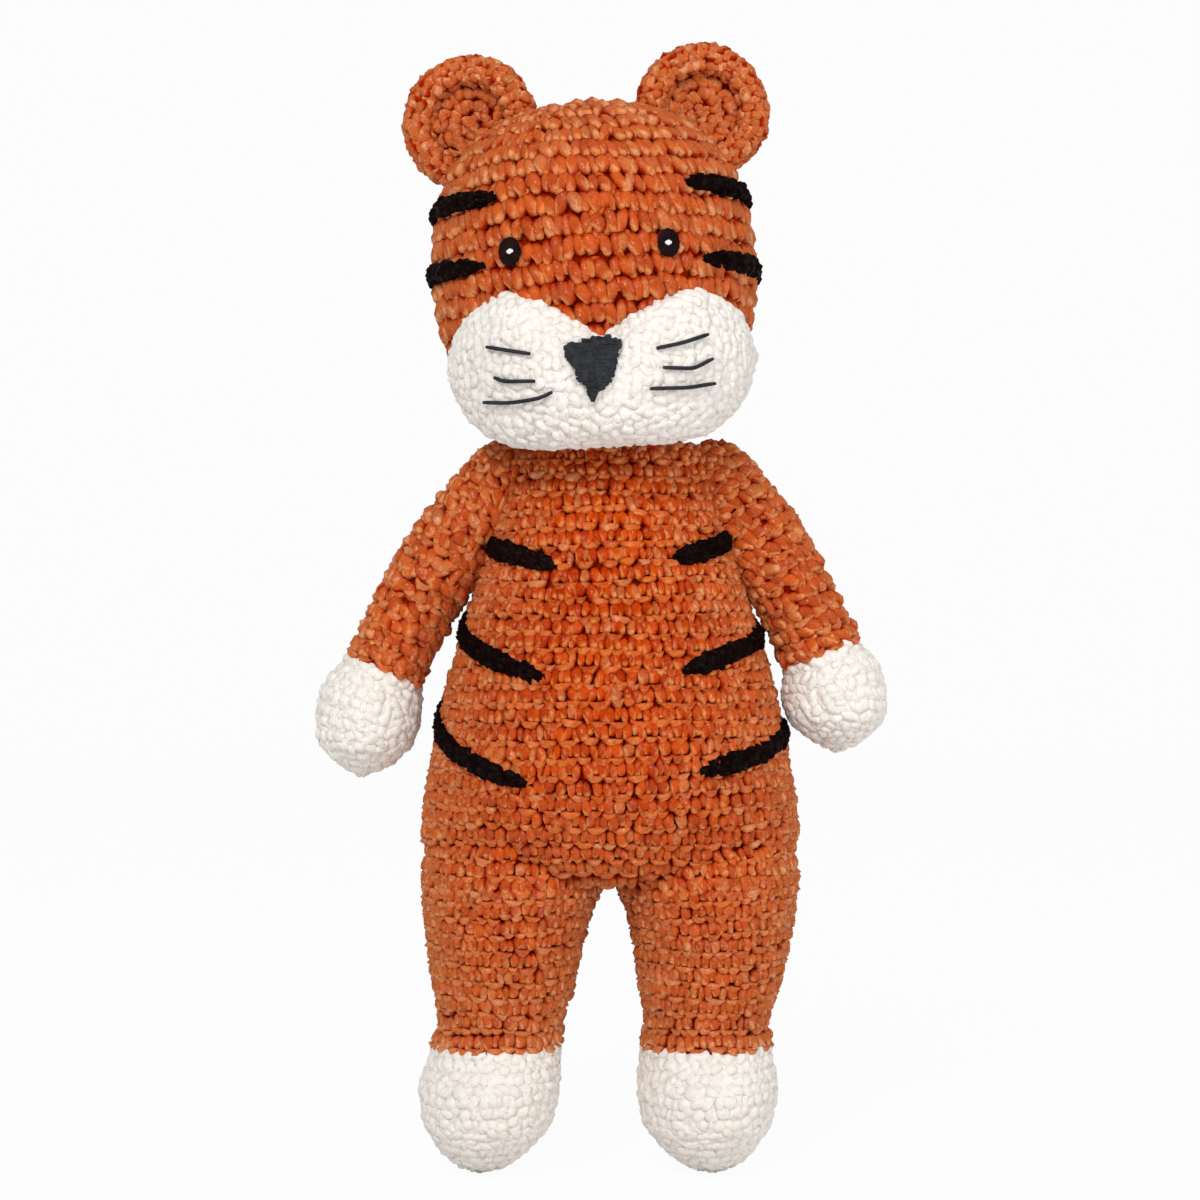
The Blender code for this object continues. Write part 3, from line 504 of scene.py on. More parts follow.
# Each puff: place across, up and out of its stitch, turn and lean in degrees, half width,
# half length and half thickness, all in millimetres, and whether it is a bent one
veeStitch = (
    ((-2.9, 0.8, 0.8, 4, -16, 1.90, 3.3, 2.5, 0), (0.0, 1.1, 1.0, -2, -16, 1.90, 3.4, 2.6, 0),
     (2.9, 0.7, 0.8, -3, -16, 1.85, 3.2, 2.4, 0), (0.1, -2.7, 1.3, 90, 0, 1.70, 4.4, 2.3, 1)),
    ((-2.2, 0.8, 0.9, 6, -16, 2.55, 3.4, 2.7, 0), (2.1, 0.7, 1.0, -6, -16, 2.50, 3.4, 2.7, 0),
     (-1.9, -2.8, 1.2, 94, 0, 1.65, 3.0, 2.3, 1), (2.5, -2.6, 1.1, 86, 0, 1.60, 2.6, 2.1, 1)),
    ((-2.4, 0.6, 0.9, -12, -16, 2.20, 3.5, 2.6, 0), (2.4, 0.6, 0.9, 12, -16, 2.20, 3.5, 2.6, 0),
     (0.0, 0.9, 1.0, 0, -12, 1.70, 3.0, 2.4, 0), (0.0, -2.7, 1.3, 90, 0, 1.75, 4.1, 2.3, 1)),
    ((-3.1, 1.0, 0.8, 3, -16, 1.75, 3.1, 2.4, 0), (-0.4, 0.6, 1.0, -5, -16, 1.85, 3.4, 2.6, 0),
     (2.7, 1.0, 0.9, 4, -16, 2.10, 3.3, 2.5, 0), (-2.1, -2.7, 1.2, 88, 0, 1.60, 2.9, 2.2, 1),
     (2.3, -2.6, 1.3, 92, 0, 1.65, 2.8, 2.2, 1)),
    ((-2.5, 0.3, 1.0, 10, -18, 2.40, 3.7, 2.7, 0), (0.7, 1.3, 0.9, -8, -16, 1.85, 3.1, 2.4, 0),
     (3.2, 0.6, 0.9, 4, -16, 1.95, 3.3, 2.5, 0), (0.6, -2.8, 1.2, 88, 0, 1.65, 3.9, 2.3, 1)),
)
slantStitch = (
    ((1.6, 0.2, 1.0, 22, -8, 2.70, 4.7, 2.8, 0), (-2.4, 0.1, 0.8, 8, -8, 2.35, 4.4, 2.6, 0),
     (4.2, 2.0, 0.5, 10, -4, 1.65, 3.1, 2.2, 0)),
    ((1.3, -0.1, 1.1, 28, -8, 2.80, 4.8, 2.9, 0), (-2.7, 0.3, 0.7, 2, -8, 2.25, 4.3, 2.5, 0),
     (-0.6, 3.2, 0.4, 60, 0, 1.50, 2.4, 2.0, 0), (4.0, -2.1, 0.4, 10, 0, 1.65, 2.7, 2.0, 0)),
    ((2.5, 0.1, 0.9, 12, -8, 2.35, 4.6, 2.6, 0), (-0.6, 0.0, 1.0, 20, -8, 2.20, 4.7, 2.7, 0),
     (-3.5, 0.2, 0.7, 6, -8, 1.85, 4.0, 2.3, 0)),
    ((2.2, 0.2, 1.0, -8, -8, 2.45, 4.5, 2.7, 0), (-2.1, 0.0, 1.0, 18, -8, 2.65, 4.7, 2.7, 0),
     (0.0, -3.4, 0.5, 92, 0, 1.30, 3.0, 1.9, 1)),
    ((-1.0, 0.1, 1.1, 24, -8, 2.75, 4.8, 2.8, 0), (3.1, 0.1, 0.8, 6, -8, 2.25, 4.5, 2.5, 0),
     (-4.0, 2.0, 0.5, 0, -4, 1.65, 3.0, 2.1, 0)),
)
scaleStitch = (
    ((-2.0, 0.9, 1.0, 24, -14, 2.90, 4.2, 2.8, 0), (2.4, 0.3, 0.9, 50, -12, 2.70, 4.1, 2.6, 0),
     (-0.4, -2.7, 1.2, 82, 0, 2.00, 4.4, 2.4, 1), (4.3, -2.0, 0.3, 20, 0, 1.80, 2.8, 2.2, 0)),
    ((-1.8, 0.3, 1.1, 62, -12, 2.90, 4.4, 2.8, 0), (2.7, 0.9, 0.8, 28, -14, 2.60, 4.0, 2.6, 0),
     (1.2, -2.8, 1.1, 100, 0, 1.95, 3.9, 2.3, 1), (-3.2, 3.0, 0.2, 0, 0, 1.80, 2.6, 2.2, 0)),
    ((-2.4, 0.6, 0.9, 8, -14, 2.75, 4.1, 2.7, 0), (1.8, 0.5, 1.1, 68, -10, 2.90, 4.4, 2.8, 0),
     (-1.5, -2.9, 1.1, 94, 0, 1.95, 3.7, 2.2, 1), (3.6, -2.4, 0.4, 60, 0, 1.75, 2.8, 2.1, 0)),
)
grainStitch = (
    ((-1.5, 0.3, 0.7, 20, 0, 2.20, 3.2, 2.3, 0), (1.6, 0.0, 0.8, -14, 0, 2.20, 3.3, 2.4, 0)),
    ((-1.2, 0.8, 0.9, 40, 0, 2.30, 3.1, 2.4, 0), (1.8, -0.8, 0.6, 10, 0, 2.05, 3.0, 2.2, 0),
     (-1.0, -2.2, 0.5, 80, 0, 1.50, 2.4, 2.0, 0)),
    ((0.0, 1.1, 0.9, 75, 0, 2.20, 3.5, 2.4, 0), (-0.3, -1.7, 0.8, 95, 0, 1.90, 3.4, 2.2, 1)),
    ((-1.7, -0.4, 0.7, -20, 0, 2.15, 3.3, 2.3, 0), (1.5, 0.6, 0.8, -30, 0, 2.20, 3.2, 2.4, 0)),
)
pebbleStitch = (
    ((-0.9, 0.5, 0.1, 30, 0, 2.05, 2.9, 1.55, 0), (1.5, -0.6, -0.1, -20, 0, 1.90, 2.7, 1.45, 0)),
    ((0.6, 0.6, 0.2, -40, 0, 2.15, 3.0, 1.55, 0), (-1.4, -1.0, -0.1, 70, 0, 1.75, 2.6, 1.40, 0)),
    ((0.1, 0.2, 0.2, 85, 0, 2.35, 3.1, 1.55, 0), (0.5, -2.0, -0.2, 90, 0, 1.60, 2.7, 1.30, 0)),
)

# Works: how a piece is stitched, beginning with what most of them share
usual = {"scale": 1.0, "pale": 0.0, "paleShare": 0.1, "paleLow": 0.0, "sizeChange": 0.06, "turnChange": 0.05,
         "up": 1.0}
veeWork = {**usual, "stitch": veeStitch, "stray": 0.22, "twist": 5, "paleLow": 0.45, "pitch": 0.0069,
           "width": 0.0086}
pebbleWork = {**usual, "stitch": pebbleStitch, "stray": 0.4, "twist": 35, "scale": 1.04, "pitch": 0.0046,
              "width": 0.0050}
# How freely puffs lie, and where the yarn turns paler towards the ground
loose = {"stray": (1, 1, 0.5), "lean": 6, "size": 0.07, "patch": 0.7, "seed": 500, "paleFrom": 0.20,
         "paleOver": 0.14}


def spread(guide, work):
    # turns each stitch into its puffs: places, ways out and up, sizes, kinds and paleness
    spots, outs, ups, fits = guide
    chance = np.random.default_rng(work["seed"] + loose["seed"])
    chosen = chance.integers(0, len(work["stitch"]), len(spots))
    # the pile's paleness: painted sheen where the work turns to the side, paler towards the ground, on top of
    # each piece's own paleness
    paleness = work["pale"] + (1 - work["pale"]) * (1 - np.abs(outs[:, 1]))
    paleness += work["paleLow"] * np.clip((loose["paleFrom"] - spots[:, 2]) / loose["paleOver"], 0, 1)
    rows = []
    for index, stitch in enumerate(work["stitch"]):
        here = chosen == index
        out, up, fit = outs[here], ups[here], fits[here]
        across, count = np.cross(up, out), len(out)
        for x, y, z, turn, lean, wide, long, thick, bent in stitch:
            move = np.array((x, y, z)) + chance.normal(0, work["stray"], (count, 3)) * loose["stray"]
            move = move * fit / 1000
            spot = spots[here] + across * move[:, :1] + up * move[:, 1:2] + out * move[:, 2:]
            angle = np.radians(turn + chance.normal(0, work["twist"], count))[:, None]
            tip = np.radians(lean + chance.normal(0, loose["lean"], count))[:, None]
            along = up * np.cos(angle) - across * np.sin(angle)
            size = np.array((wide, long, thick)) * (1 + chance.normal(0, loose["size"], (count, 3))) / 1000
            size[:, :1] *= np.hypot(fit[:, :1] * np.cos(angle), fit[:, 1:2] * np.sin(angle))
            size[:, 1:2] *= np.hypot(fit[:, :1] * np.sin(angle), fit[:, 1:2] * np.cos(angle))
            size[:, 2:] *= fit[:, 2:]
            kinds = chance.integers(*(bentKinds if bent else straightKinds), count)
            patch = (chance.random(count) < work["paleShare"]) * loose["patch"]
            outward, upward = out * np.cos(tip) - along * np.sin(tip), along * np.cos(tip) + out * np.sin(tip)
            rows.append((spot, outward, upward, size, kinds, np.minimum(paleness[here] + patch, 1)))
    return [np.concatenate(part) for part in zip(*rows)]


def newTree(name, sockets):
    # an empty geometry tree with its sockets, what fills it and what it is given
    tree = bpy.data.node_groups.new(name, "GeometryNodeTree")
    for label, kind in (("Geometry", "Geometry"), *sockets, ("Yarn", "Material")):
        tree.interface.new_socket(label, in_out="INPUT", socket_type="NodeSocket" + kind)
    tree.interface.new_socket("Geometry", in_out="OUTPUT", socket_type="NodeSocketGeometry")
    make = Maker(tree)
    return make, make.node("NodeGroupInput").outputs


def endTree(make, geometry, yarn):
    # gives the geometry its yarn and ends the tree
    coloured = make.node("GeometryNodeSetMaterial", {}, {"Geometry": geometry, "Material": yarn})
    make.node("NodeGroupOutput", {}, {0: coloured.outputs[0]})
    return make.tree


def crochetTree():
    # stands a puff of yarn on every guide point, and keeps the cloth under them
    make, given = newTree("crochetRows", (
        ("Guide", "Object"), ("Puffs", "Collection"), ("Size change", "Float"), ("Turn change", "Float"),
        ("Scale", "Float"), ("Seed", "Int")))
    guide = make.node("GeometryNodeObjectInfo", {}, {"Object": given["Guide"]})
    kinds = make.node("GeometryNodeCollectionInfo", {}, {
        "Collection": given["Puffs"], "Separate Children": True, "Reset Children": True})

    def change(low, high, extra):
        # a chance number for each puff
        seed = make.node("FunctionNodeIntegerMath", {"operation": "ADD"}, {0: given["Seed"], 1: extra})
        made = make.node("FunctionNodeRandomValue", {"data_type": "FLOAT"},
                         {"Seed": seed.outputs[0], 2: low, 3: high})
        return made.outputs[1]

    def changes(low, high, extra):
        # three of them, as a vector
        made = make.node("ShaderNodeCombineXYZ", {}, {i: change(low, high, extra + i) for i in range(3)})
        return made.outputs[0]

    turning, growing = Value(make, given["Turn change"]), Value(make, given["Size change"])
    out, up, fit = [make.stored(label, "FLOAT_VECTOR") for label in ("out", "up", "fit")]
    facing = make.node("FunctionNodeAxesToRotation", {"primary_axis": "Z", "secondary_axis": "Y"},
                       {"Primary Axis": out, "Secondary Axis": up})
    turned = make.node("FunctionNodeRotateRotation", {"rotation_space": "LOCAL"}, {
        0: facing.outputs[0], 1: changes(turning * -1.0, turning, 1)})
    fitted = make.node("ShaderNodeVectorMath", {"operation": "MULTIPLY"}, {
        0: changes(1.0 - growing, 1.0 + growing, 4), 1: fit})
    scaled = make.node("ShaderNodeVectorMath", {"operation": "SCALE"}, {
        0: fitted.outputs[0], "Scale": given["Scale"]})
    spots = make.node("GeometryNodeInstanceOnPoints", {}, {
        "Points": guide.outputs["Geometry"], "Instance": kinds.outputs[0], "Pick Instance": True,
        "Instance Index": make.stored("kind", "INT"), "Rotation": turned.outputs[0],
        "Scale": scaled.outputs[0]})
    tinted = make.node("GeometryNodeStoreNamedAttribute", {"data_type": "FLOAT", "domain": "INSTANCE"}, {
        "Geometry": spots.outputs[0], "Name": "tint", "Value": change(0.0, 1.0, 9)})
    real = make.node("GeometryNodeRealizeInstances", {}, {0: tinted.outputs[0]})
    joined = make.node("GeometryNodeJoinGeometry")
    make.feed(joined, {0: given["Geometry"]})
    make.feed(joined, {0: real.outputs[0]})
    return endTree(make, joined.outputs[0], given["Yarn"])


def tubeTree():
    # a round yarn or thread along edges, thicker and thinner by the points' own numbers
    make, given = newTree("yarnAlongLine", (("Radius", "Float"), ("Sides", "Int")))
    curve = make.node("GeometryNodeMeshToCurve", {}, {0: given["Geometry"]})
    size = Value(make, make.stored("swell", "FLOAT")) * given["Radius"]
    ring = make.node("GeometryNodeCurvePrimitiveCircle", {"mode": "RADIUS"},
                     {"Resolution": given["Sides"], "Radius": 1.0})
    solid = make.node("GeometryNodeCurveToMesh", {}, {
        "Curve": curve.outputs[0], "Profile Curve": ring.outputs[0], "Fill Caps": True, "Scale": size})
    smooth = make.node("GeometryNodeSetShadeSmooth", {}, {0: solid.outputs[0]})
    real = make.node("GeometryNodeRealizeInstances", {}, {0: smooth.outputs[0]})
    return endTree(make, real.outputs[0], given["Yarn"])


crochet, yarnAlong = crochetTree(), tubeTree()


def growMesh(tree, base, settings):
    # runs a tree on a mesh with settings by their names, and gives the plain mesh that it makes
    holder = addPiece("holder", base)
    modifier = holder.modifiers.new("grow", "NODES")
    modifier.node_group = tree
    for item in tree.interface.items_tree:
        if item.item_type == "SOCKET" and item.in_out == "INPUT" and item.name in settings:
            modifier[item.identifier] = settings[item.name]
    bpy.context.view_layer.update()
    made = bpy.data.meshes.new_from_object(holder.evaluated_get(bpy.context.evaluated_depsgraph_get()))
    bpy.data.objects.remove(holder, do_unlink=True)
    return made


def tufted(name, base, puffs, work, yarn, depth=1.0):
    # one piece of yarn: a closed mesh and the puffs that stand on it
    # the closed mesh shows only between puffs, so it carries the painted crease shade, as much as depth says
    for label, level in (("rim", 0.0), ("deep", depth), ("tint", 0.3), ("pale", 0.0)):
        mark(base, label, "FLOAT", np.full(len(base.vertices), level))
    marks = bpy.data.meshes.new(name + "Guide")
    marks.from_pydata([tuple(p) for p in puffs[0]], [], [])
    kinds = (("out", "FLOAT_VECTOR"), ("up", "FLOAT_VECTOR"), ("fit", "FLOAT_VECTOR"), ("kind", "INT"),
             ("pale", "FLOAT"))
    for (label, kind), values in zip(kinds, puffs[1:]):
        mark(marks, label, kind, values)
    marker = addPiece(name + "Marks", marks)
    mesh = growMesh(crochet, base, {
        "Guide": marker, "Puffs": puffKinds, "Yarn": materials[yarn], "Size change": work["sizeChange"],
        "Turn change": work["turnChange"], "Scale": work["scale"], "Seed": work["seed"]})
    bpy.data.objects.remove(marker, do_unlink=True)
    mesh.name = name
    return addPiece(name, mesh)


def crocheted(name, form, work, guide, low, high, yarn):
    # one piece of crochet: its closed cloth, between two places on the form, and the puffs of its stitches
    puffs = spread(guide, work)
    piece = tufted(name, meshOf(name + "Cloth", *form.skin(work, low, high)), puffs, work, yarn)
    print("tiger: %s has %d stitches and %d puffs" % (name, len(guide[0]), len(puffs[0])))
    return piece


def keep(guide, chosen):
    return [part[chosen] for part in guide]


# The least ring, how far cloth stops before an end, and how far rounds lap over a seam
tiny, short, lap = 1e-5, 1e-4, 0.001


def flatRing(spot, wide, deep):
    # a ring that lies flat: its middle and its two half axes
    return spot, (wide, 0, 0), (0, deep, 0)


def roundEnd(steps, degrees):
    # how wide and how far along a round end is, step by step
    turns = [math.radians(degrees * i) for i in steps]
    return [(math.cos(turn), math.sin(turn)) for turn in turns]


def bentRings(spots, radii, side, steps, degrees, least=0.0):
    # rings square to a bent line, after a round end that leads up to its start
    first = unit(spots[1] - spots[0])
    rings = []
    for wide, back in roundEnd(range(steps, 0, -1), degrees):
        rings.append((-first * radii[0] * back, first, radii[0] * wide + least))
    for i, radius in enumerate(radii):
        rings.append((spots[i], unit(spots[i + 1] - spots[max(i - 1, 0)]), radius))
    return [(spot, np.cross(along, side) * size, np.array(side) * size) for spot, along, size in rings]


# Legs and body

hips = {"height": 0.115, "offset": 0.0385, "gap": 0.005, "halfWidth": 0.036, "halfDepth": 0.040}
leg = {
    "footTop": 0.051, "forward": 0.005, "splay": {"left": 0.0, "right": 0.010}, "least": 1e-4, "fill": 0.85,
    # height, half width, half depth, forward, splay and spread, all as shares
    "rings": ((0.0, 0.10, 0.12, 0.6, 1.15, 0.2), (0.035, 0.355, 0.385, 0.75, 1.12, 0.15),
              (0.10, 0.575, 0.61, 0.9, 1.07, 0.05), (0.19, 0.745, 0.78, 0.95, 1, 0),
              (0.30, 0.79, 0.83, 0.9, 0.92, 0), (0.40, 0.755, 0.77, 0.65, 0.75, -0.05),
              (0.52, 0.69, 0.70, 0.25, 0.5, 0), (0.65, 0.785, 0.785, 0.10, 0.3, 0.2),
              (0.79, 0.865, 0.885, 0, 0.15, 0.35), (0.91, 0.94, 0.95, 0, 0.05, 0.25), (1, 1, 1, 0, 0, 0)),
    "work": {**veeWork, "inset": 0.0031, "clothInset": 0.0035, "grid": (40, 40), "seed": 3, "firstSeed": 20},
    "footWork": {**pebbleWork, "inset": 0.0023, "clothInset": 0.0017, "grid": (30, 36), "seed": 5,
                 "firstSeed": 30},
}
body = {
    "height": 0.174, "halfWidth": 0.0745, "halfDepth": 0.059, "neckRadius": 0.026, "lastRow": 0.1140,
    "rings": ((-0.012, 0.40, 0.30), (0.02, 0.76, 0.58), (0.06, 0.94, 0.72), (0.115, 1, 0.82),
              (0.19, 0.985, 0.92), (0.32, 0.93, 1), (0.46, 0.862, 0.95), (0.625, 0.746, 0.84),
              (0.76, 0.66, 0.745), (0.87, 0.60, 0.655), (0.935, 0.575, 0.58), (0.97, 0.545, 0.52),
              (0.992, 0.48, 0.47)),
    "work": {**veeWork, "inset": 0.0028, "clothInset": 0.0032, "grid": (60, 64), "seed": 7, "firstSeed": 1},
    "hipBlend": 0.0015, "hipBelow": -0.2, "hipLeast": 0.05,
}
middle = Matrix.Translation((standing["x"], standing["y"], 0))


def legForm(side, sign):
    rings = []
    for high, wide, deep, forward, out, apart in leg["rings"]:
        out = hips["offset"] + leg["splay"][side] * out + hips["gap"] * apart
        spot = (sign * out, -leg["forward"] * forward, hips["height"] * high)
        rings.append(flatRing(spot, hips["halfWidth"] * wide, hips["halfDepth"] * deep))
    rings.insert(0, flatRing(rings[0][0], tiny, tiny))
    for size, up in roundEnd(range(1, 7), 15):
        size += leg["least"]
        spot = (sign * hips["offset"], 0, hips["height"] + hips["halfDepth"] * up)
        rings.append(flatRing(spot, hips["halfWidth"] * size, hips["halfDepth"] * size))
    return Form(rings, middle)


class BodyForm(Form):
    # the body's own rings, swelled near the hips so that both thighs grow out of it

    def rawPoints(self, s, angle):
        data = self.line(s)
        own = super().rawPoints(s, angle) - data[:, :3]
        reach = np.linalg.norm(own[:, :2], axis=1)
        way = own[:, :2] / np.maximum(reach, 1e-9)[:, None]
        above = np.clip((data[:, 2] - hips["height"]) / hips["halfDepth"], body["hipBelow"], 1.0)
        size = np.sqrt(np.clip(1 - above ** 2, 0, 1))
        wide, deep = hips["halfWidth"] * size + 1e-6, hips["halfDepth"] * size + 1e-6
        reaches = [reach]
        for sign in (1, -1):
            # where this way out of the middle leaves the thigh's ring
            a = (way[:, 0] / wide) ** 2 + (way[:, 1] / deep) ** 2
            b = -2 * way[:, 0] * sign * hips["offset"] / wide ** 2
            c = (hips["offset"] / wide) ** 2 - 1
            root = b ** 2 - 4 * a * c
            far = np.clip((-b + np.sqrt(np.clip(root, 0, None))) / (2 * a), 0, None)
            reaches.append(np.where((root > 0) & (size > body["hipLeast"]), far, 0.0))
        most = np.max(reaches, axis=0)
        total = sum(np.exp((part - most) / body["hipBlend"]) for part in reaches)
        reach = most + body["hipBlend"] * np.log(total)
        return np.column_stack([way * reach[:, None], np.zeros(len(reach))]) + data[:, :3]


def bodyForm():
    rings = []
    for high, wide, deep in body["rings"]:
        spot = (0, 0, hips["height"] + body["height"] * high)
        rings.append(flatRing(spot, body["halfWidth"] * wide, body["halfDepth"] * deep))
    for wide, up in roundEnd(range(7), 15):
        size = body["neckRadius"] * wide + tiny
        rings.append(flatRing((0, 0, hips["height"] + body["height"] + body["neckRadius"] * up), size, size))
    return BodyForm([flatRing(rings[0][0], tiny, tiny), *rings], middle)


print("tiger: body and legs")
trunk = bodyForm()
hem = trunk.at(body["lastRow"])
trunkGuide = trunk.stitchGuide(body["work"], hem, trunk.stops[-1])
# The stitches over the hips that lie past a line from the crotch up to the outer hip go to each leg's piece
hipFold = {"low": (0.0, 0.115), "high": (0.0745, 0.150), "length": 0.035}
foldAlong = unit(np.array(hipFold["high"]) - np.array(hipFold["low"]))
foldAcross = np.array((foldAlong[1], -foldAlong[0]))
leftward = trunkGuide[0][:, 0] - standing["x"]
past = (np.abs(leftward) - hipFold["low"][0]) * foldAcross[0]
past = past + (trunkGuide[0][:, 2] - hipFold["low"][1]) * foldAcross[1]
guide = keep(trunkGuide, past <= 0.0)
bodySkin = crocheted("bodySkin", trunk, body["work"], guide, hem, trunk.stops[-1] - short, "orange")
dress(bodySkin, "torso", ("body", "body_stuffing"))

for side, sign in sides:
    form, bodyName = legForm(side, sign), "%s_leg" % side
    seam, top = form.at(leg["footTop"]), form.at(body["lastRow"] + lap)
    guide = form.stitchGuide(leg["work"], seam, top, sign)
    shared = keep(trunkGuide, (past > 0.0) & (leftward * sign > 0))
    guide = [np.concatenate(parts) for parts in zip(guide, shared)]
    thigh = crocheted("%sLegSkin" % side, form, leg["work"], guide, seam - lap, form.stops[-1], "orange")
    start = np.array((standing["x"], standing["y"], hipFold["low"][1]))
    end = start + np.array((sign * foldAcross[0], 0, foldAcross[1])) * hipFold["length"]
    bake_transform(thigh)
    dress(thigh, None, ("leg_" + side, "leg_stuffing_" + side))
    low = form.stops[0]
    guide = form.stitchGuide(leg["footWork"], low, seam + lap, sign)
    foot = crocheted("%sFootSkin" % side, form, leg["footWork"], guide, low + short, seam, "white")
    dress(foot, bodyName, ("foot_" + side,))


# Arms

arm = {
    "shoulderHeight": 0.2732, "shoulderOffset": 0.0412, "radius": 0.0168, "pawRadius": 0.0216, "fill": 0.8,
    "drop": {"left": 0.1075, "right": 0.1175}, "reach": {"left": 0.0498, "right": 0.0570}, "wrist": 0.620,
    # outwards, down and radius, all as shares
    "rings": ((0, 0, 1), (0.13, 0.068, 1), (0.28, 0.155, 1), (0.449, 0.263, 1), (0.618, 0.396, 0.965),
              (0.765, 0.536, 0.94)),
    "pawRings": ((0.86, 0.64, 0.80), (0.925, 0.715, 0.96), (0.968, 0.79, 1), (0.99, 0.865, 0.93),
                 (0.998, 0.935, 0.64), (1, 0.98, 0.28)),
    "work": {**usual, "stitch": scaleStitch, "stray": 0.3, "twist": 12, "pale": 0.36, "paleShare": 0.12,
             "pitch": 0.0071, "width": 0.0088, "inset": 0.0030, "clothInset": 0.0031, "grid": (36, 32),
             "up": -1.0, "seed": 11, "firstSeed": 40},
    "pawWork": {**pebbleWork, "inset": 0.0022, "clothInset": 0.0016, "grid": (30, 32), "up": -1.0, "seed": 13,
                "firstSeed": 50},
}

print("tiger: arms")
for side, sign in sides:
    spots = [np.array((sign * arm["reach"][side] * out, 0, -arm["drop"][side] * down))
             for out, down, _ in (*arm["rings"], *arm["pawRings"], (1, 1, 0))]
    radii = [arm["radius"] * size for _, _, size in arm["rings"]]
    radii += [arm["pawRadius"] * size for _, _, size in arm["pawRings"]]
    rings = bentRings(spots, radii, (0, 1, 0), 6, 15, tiny)
    rings.append((spots[-1], rings[-1][1] * 1e-3, (0, tiny, 0)))
    place = middle @ Matrix.Translation((sign * arm["shoulderOffset"], 0, arm["shoulderHeight"]))
    form, bodyName = Form(rings, place), "%s_arm" % side
    start, end, wrist = form.stops[0], form.stops[-1], form.at(-arm["drop"][side] * arm["wrist"])
    guide = form.stitchGuide(arm["work"], 0.0, wrist, sign)
    sleeve = crocheted("%sArmSkin" % side, form, arm["work"], guide, start + short, wrist + lap, "orange")
    dress(sleeve, bodyName, ("arm_" + side, "arm_stuffing_" + side))
    guide = form.stitchGuide(arm["pawWork"], wrist, end, sign)
    paw = crocheted("%sPawSkin" % side, form, arm["pawWork"], guide, wrist, end - short, "white")
    dress(paw, bodyName, ("paw_" + side,))


# Head, muzzle and ears

head = {
    "neckHeight": 0.289, "rise": 0.0694, "shift": -0.0028, "tilt": math.radians(-3.0),
    "halfWidth": 0.064, "halfDepth": 0.065, "halfHeight": 0.0655, "roundness": 2.4, "steps": 24,
    "firstRow": -0.062,
    "work": {**usual, "stitch": slantStitch, "stray": 0.25, "twist": 6, "scale": 1.08, "pale": 0.34,
             "paleShare": 0.14, "pitch": 0.0082, "width": 0.0086, "inset": 0.0034, "clothInset": 0.0037,
             "grid": (40, 56), "seed": 17, "firstSeed": 60},
}
headPlace = middle @ Matrix.Translation((0, 0, head["neckHeight"])) @ Matrix.Rotation(head["tilt"], 4, "Y")
headMiddle = headPlace @ Matrix.Translation((head["shift"], 0, head["rise"]))
toHead, fromHead = np.array(headMiddle), np.array(headMiddle.inverted())


def headWide(height):
    part = np.clip(np.abs(height) / head["halfHeight"], 0, 1)
    return (1 - part ** head["roundness"]) ** (1 / head["roundness"])


def onHead(x, y, z):
    # from the head's own measures to the toy's
    return toHead[:3, :3] @ np.array((x, y, z)) + toHead[:3, 3]


def insideHead(spots, margin):
    # which places lie inside the head ball
    local = spots @ fromHead[:3, :3].T + fromHead[:3, 3]
    reach = np.sqrt((local[:, 0] / head["halfWidth"]) ** 2 + (local[:, 1] / head["halfDepth"]) ** 2)
    return reach < headWide(local[:, 2]) - margin / head["halfWidth"]


print("tiger: head")
rings = []
for i in range(head["steps"] + 1):
    height = -head["halfHeight"] * math.cos(math.pi * i / head["steps"])
    size = float(headWide(height)) + tiny
    rings.append(flatRing((0, 0, height), head["halfWidth"] * size, head["halfDepth"] * size))
headShape = Form(rings, headMiddle)
start, end = headShape.stops[0], headShape.stops[-1]
guide = headShape.stitchGuide(head["work"], headShape.at(head["firstRow"]), end)
headSkin = crocheted("headSkin", headShape, head["work"], guide, start + short, end - short, "orange")
dress(headSkin, "head", ("head", "head_stuffing"))

muzzle = {
    "halfWidth": 0.0612, "halfHeight": 0.0310, "drop": 0.0430, "depth": 0.020, "forward": 0.054,
    "back": 0.022, "shift": 0.0012, "lobeRise": 0.038, "inHead": 0.003,
    # place across, middle height, half height, forward, half depth
    "rings": ((0, -0.29, 0.71, 1, 1), (0.2, -0.165, 0.835, 1, 1), (0.4, -0.065, 0.925, 0.92, 1),
              (0.58, 0.02, 0.95, 0.79, 0.96), (0.74, 0.045, 0.80, 0.59, 0.87),
              (0.88, 0.095, 0.575, 0.33, 0.70), (0.96, 0.125, 0.275, 0.14, 0.45), (1, 0.125, 0, 0, 0)),
    "work": {**pebbleWork, "twist": 40, "scale": 1.06, "pitch": 0.0045, "inset": 0.0020,
             "clothInset": 0.0014, "grid": (60, 40), "seed": 19, "firstSeed": 70},
}
muzzleLine = rowLine(muzzle["rings"])


def muzzleRing(share, rise=0.0):
    # a ring's place forward and up, and its half height and half depth, by its share of the way across
    up, tall, forward, deep = muzzleLine(abs(share))[0]
    y = -muzzle["back"] - (muzzle["forward"] - muzzle["back"]) * forward
    z = -muzzle["drop"] + muzzle["halfHeight"] * (up + rise)
    return y, z, muzzle["halfHeight"] * (tall + rise), muzzle["depth"] * deep


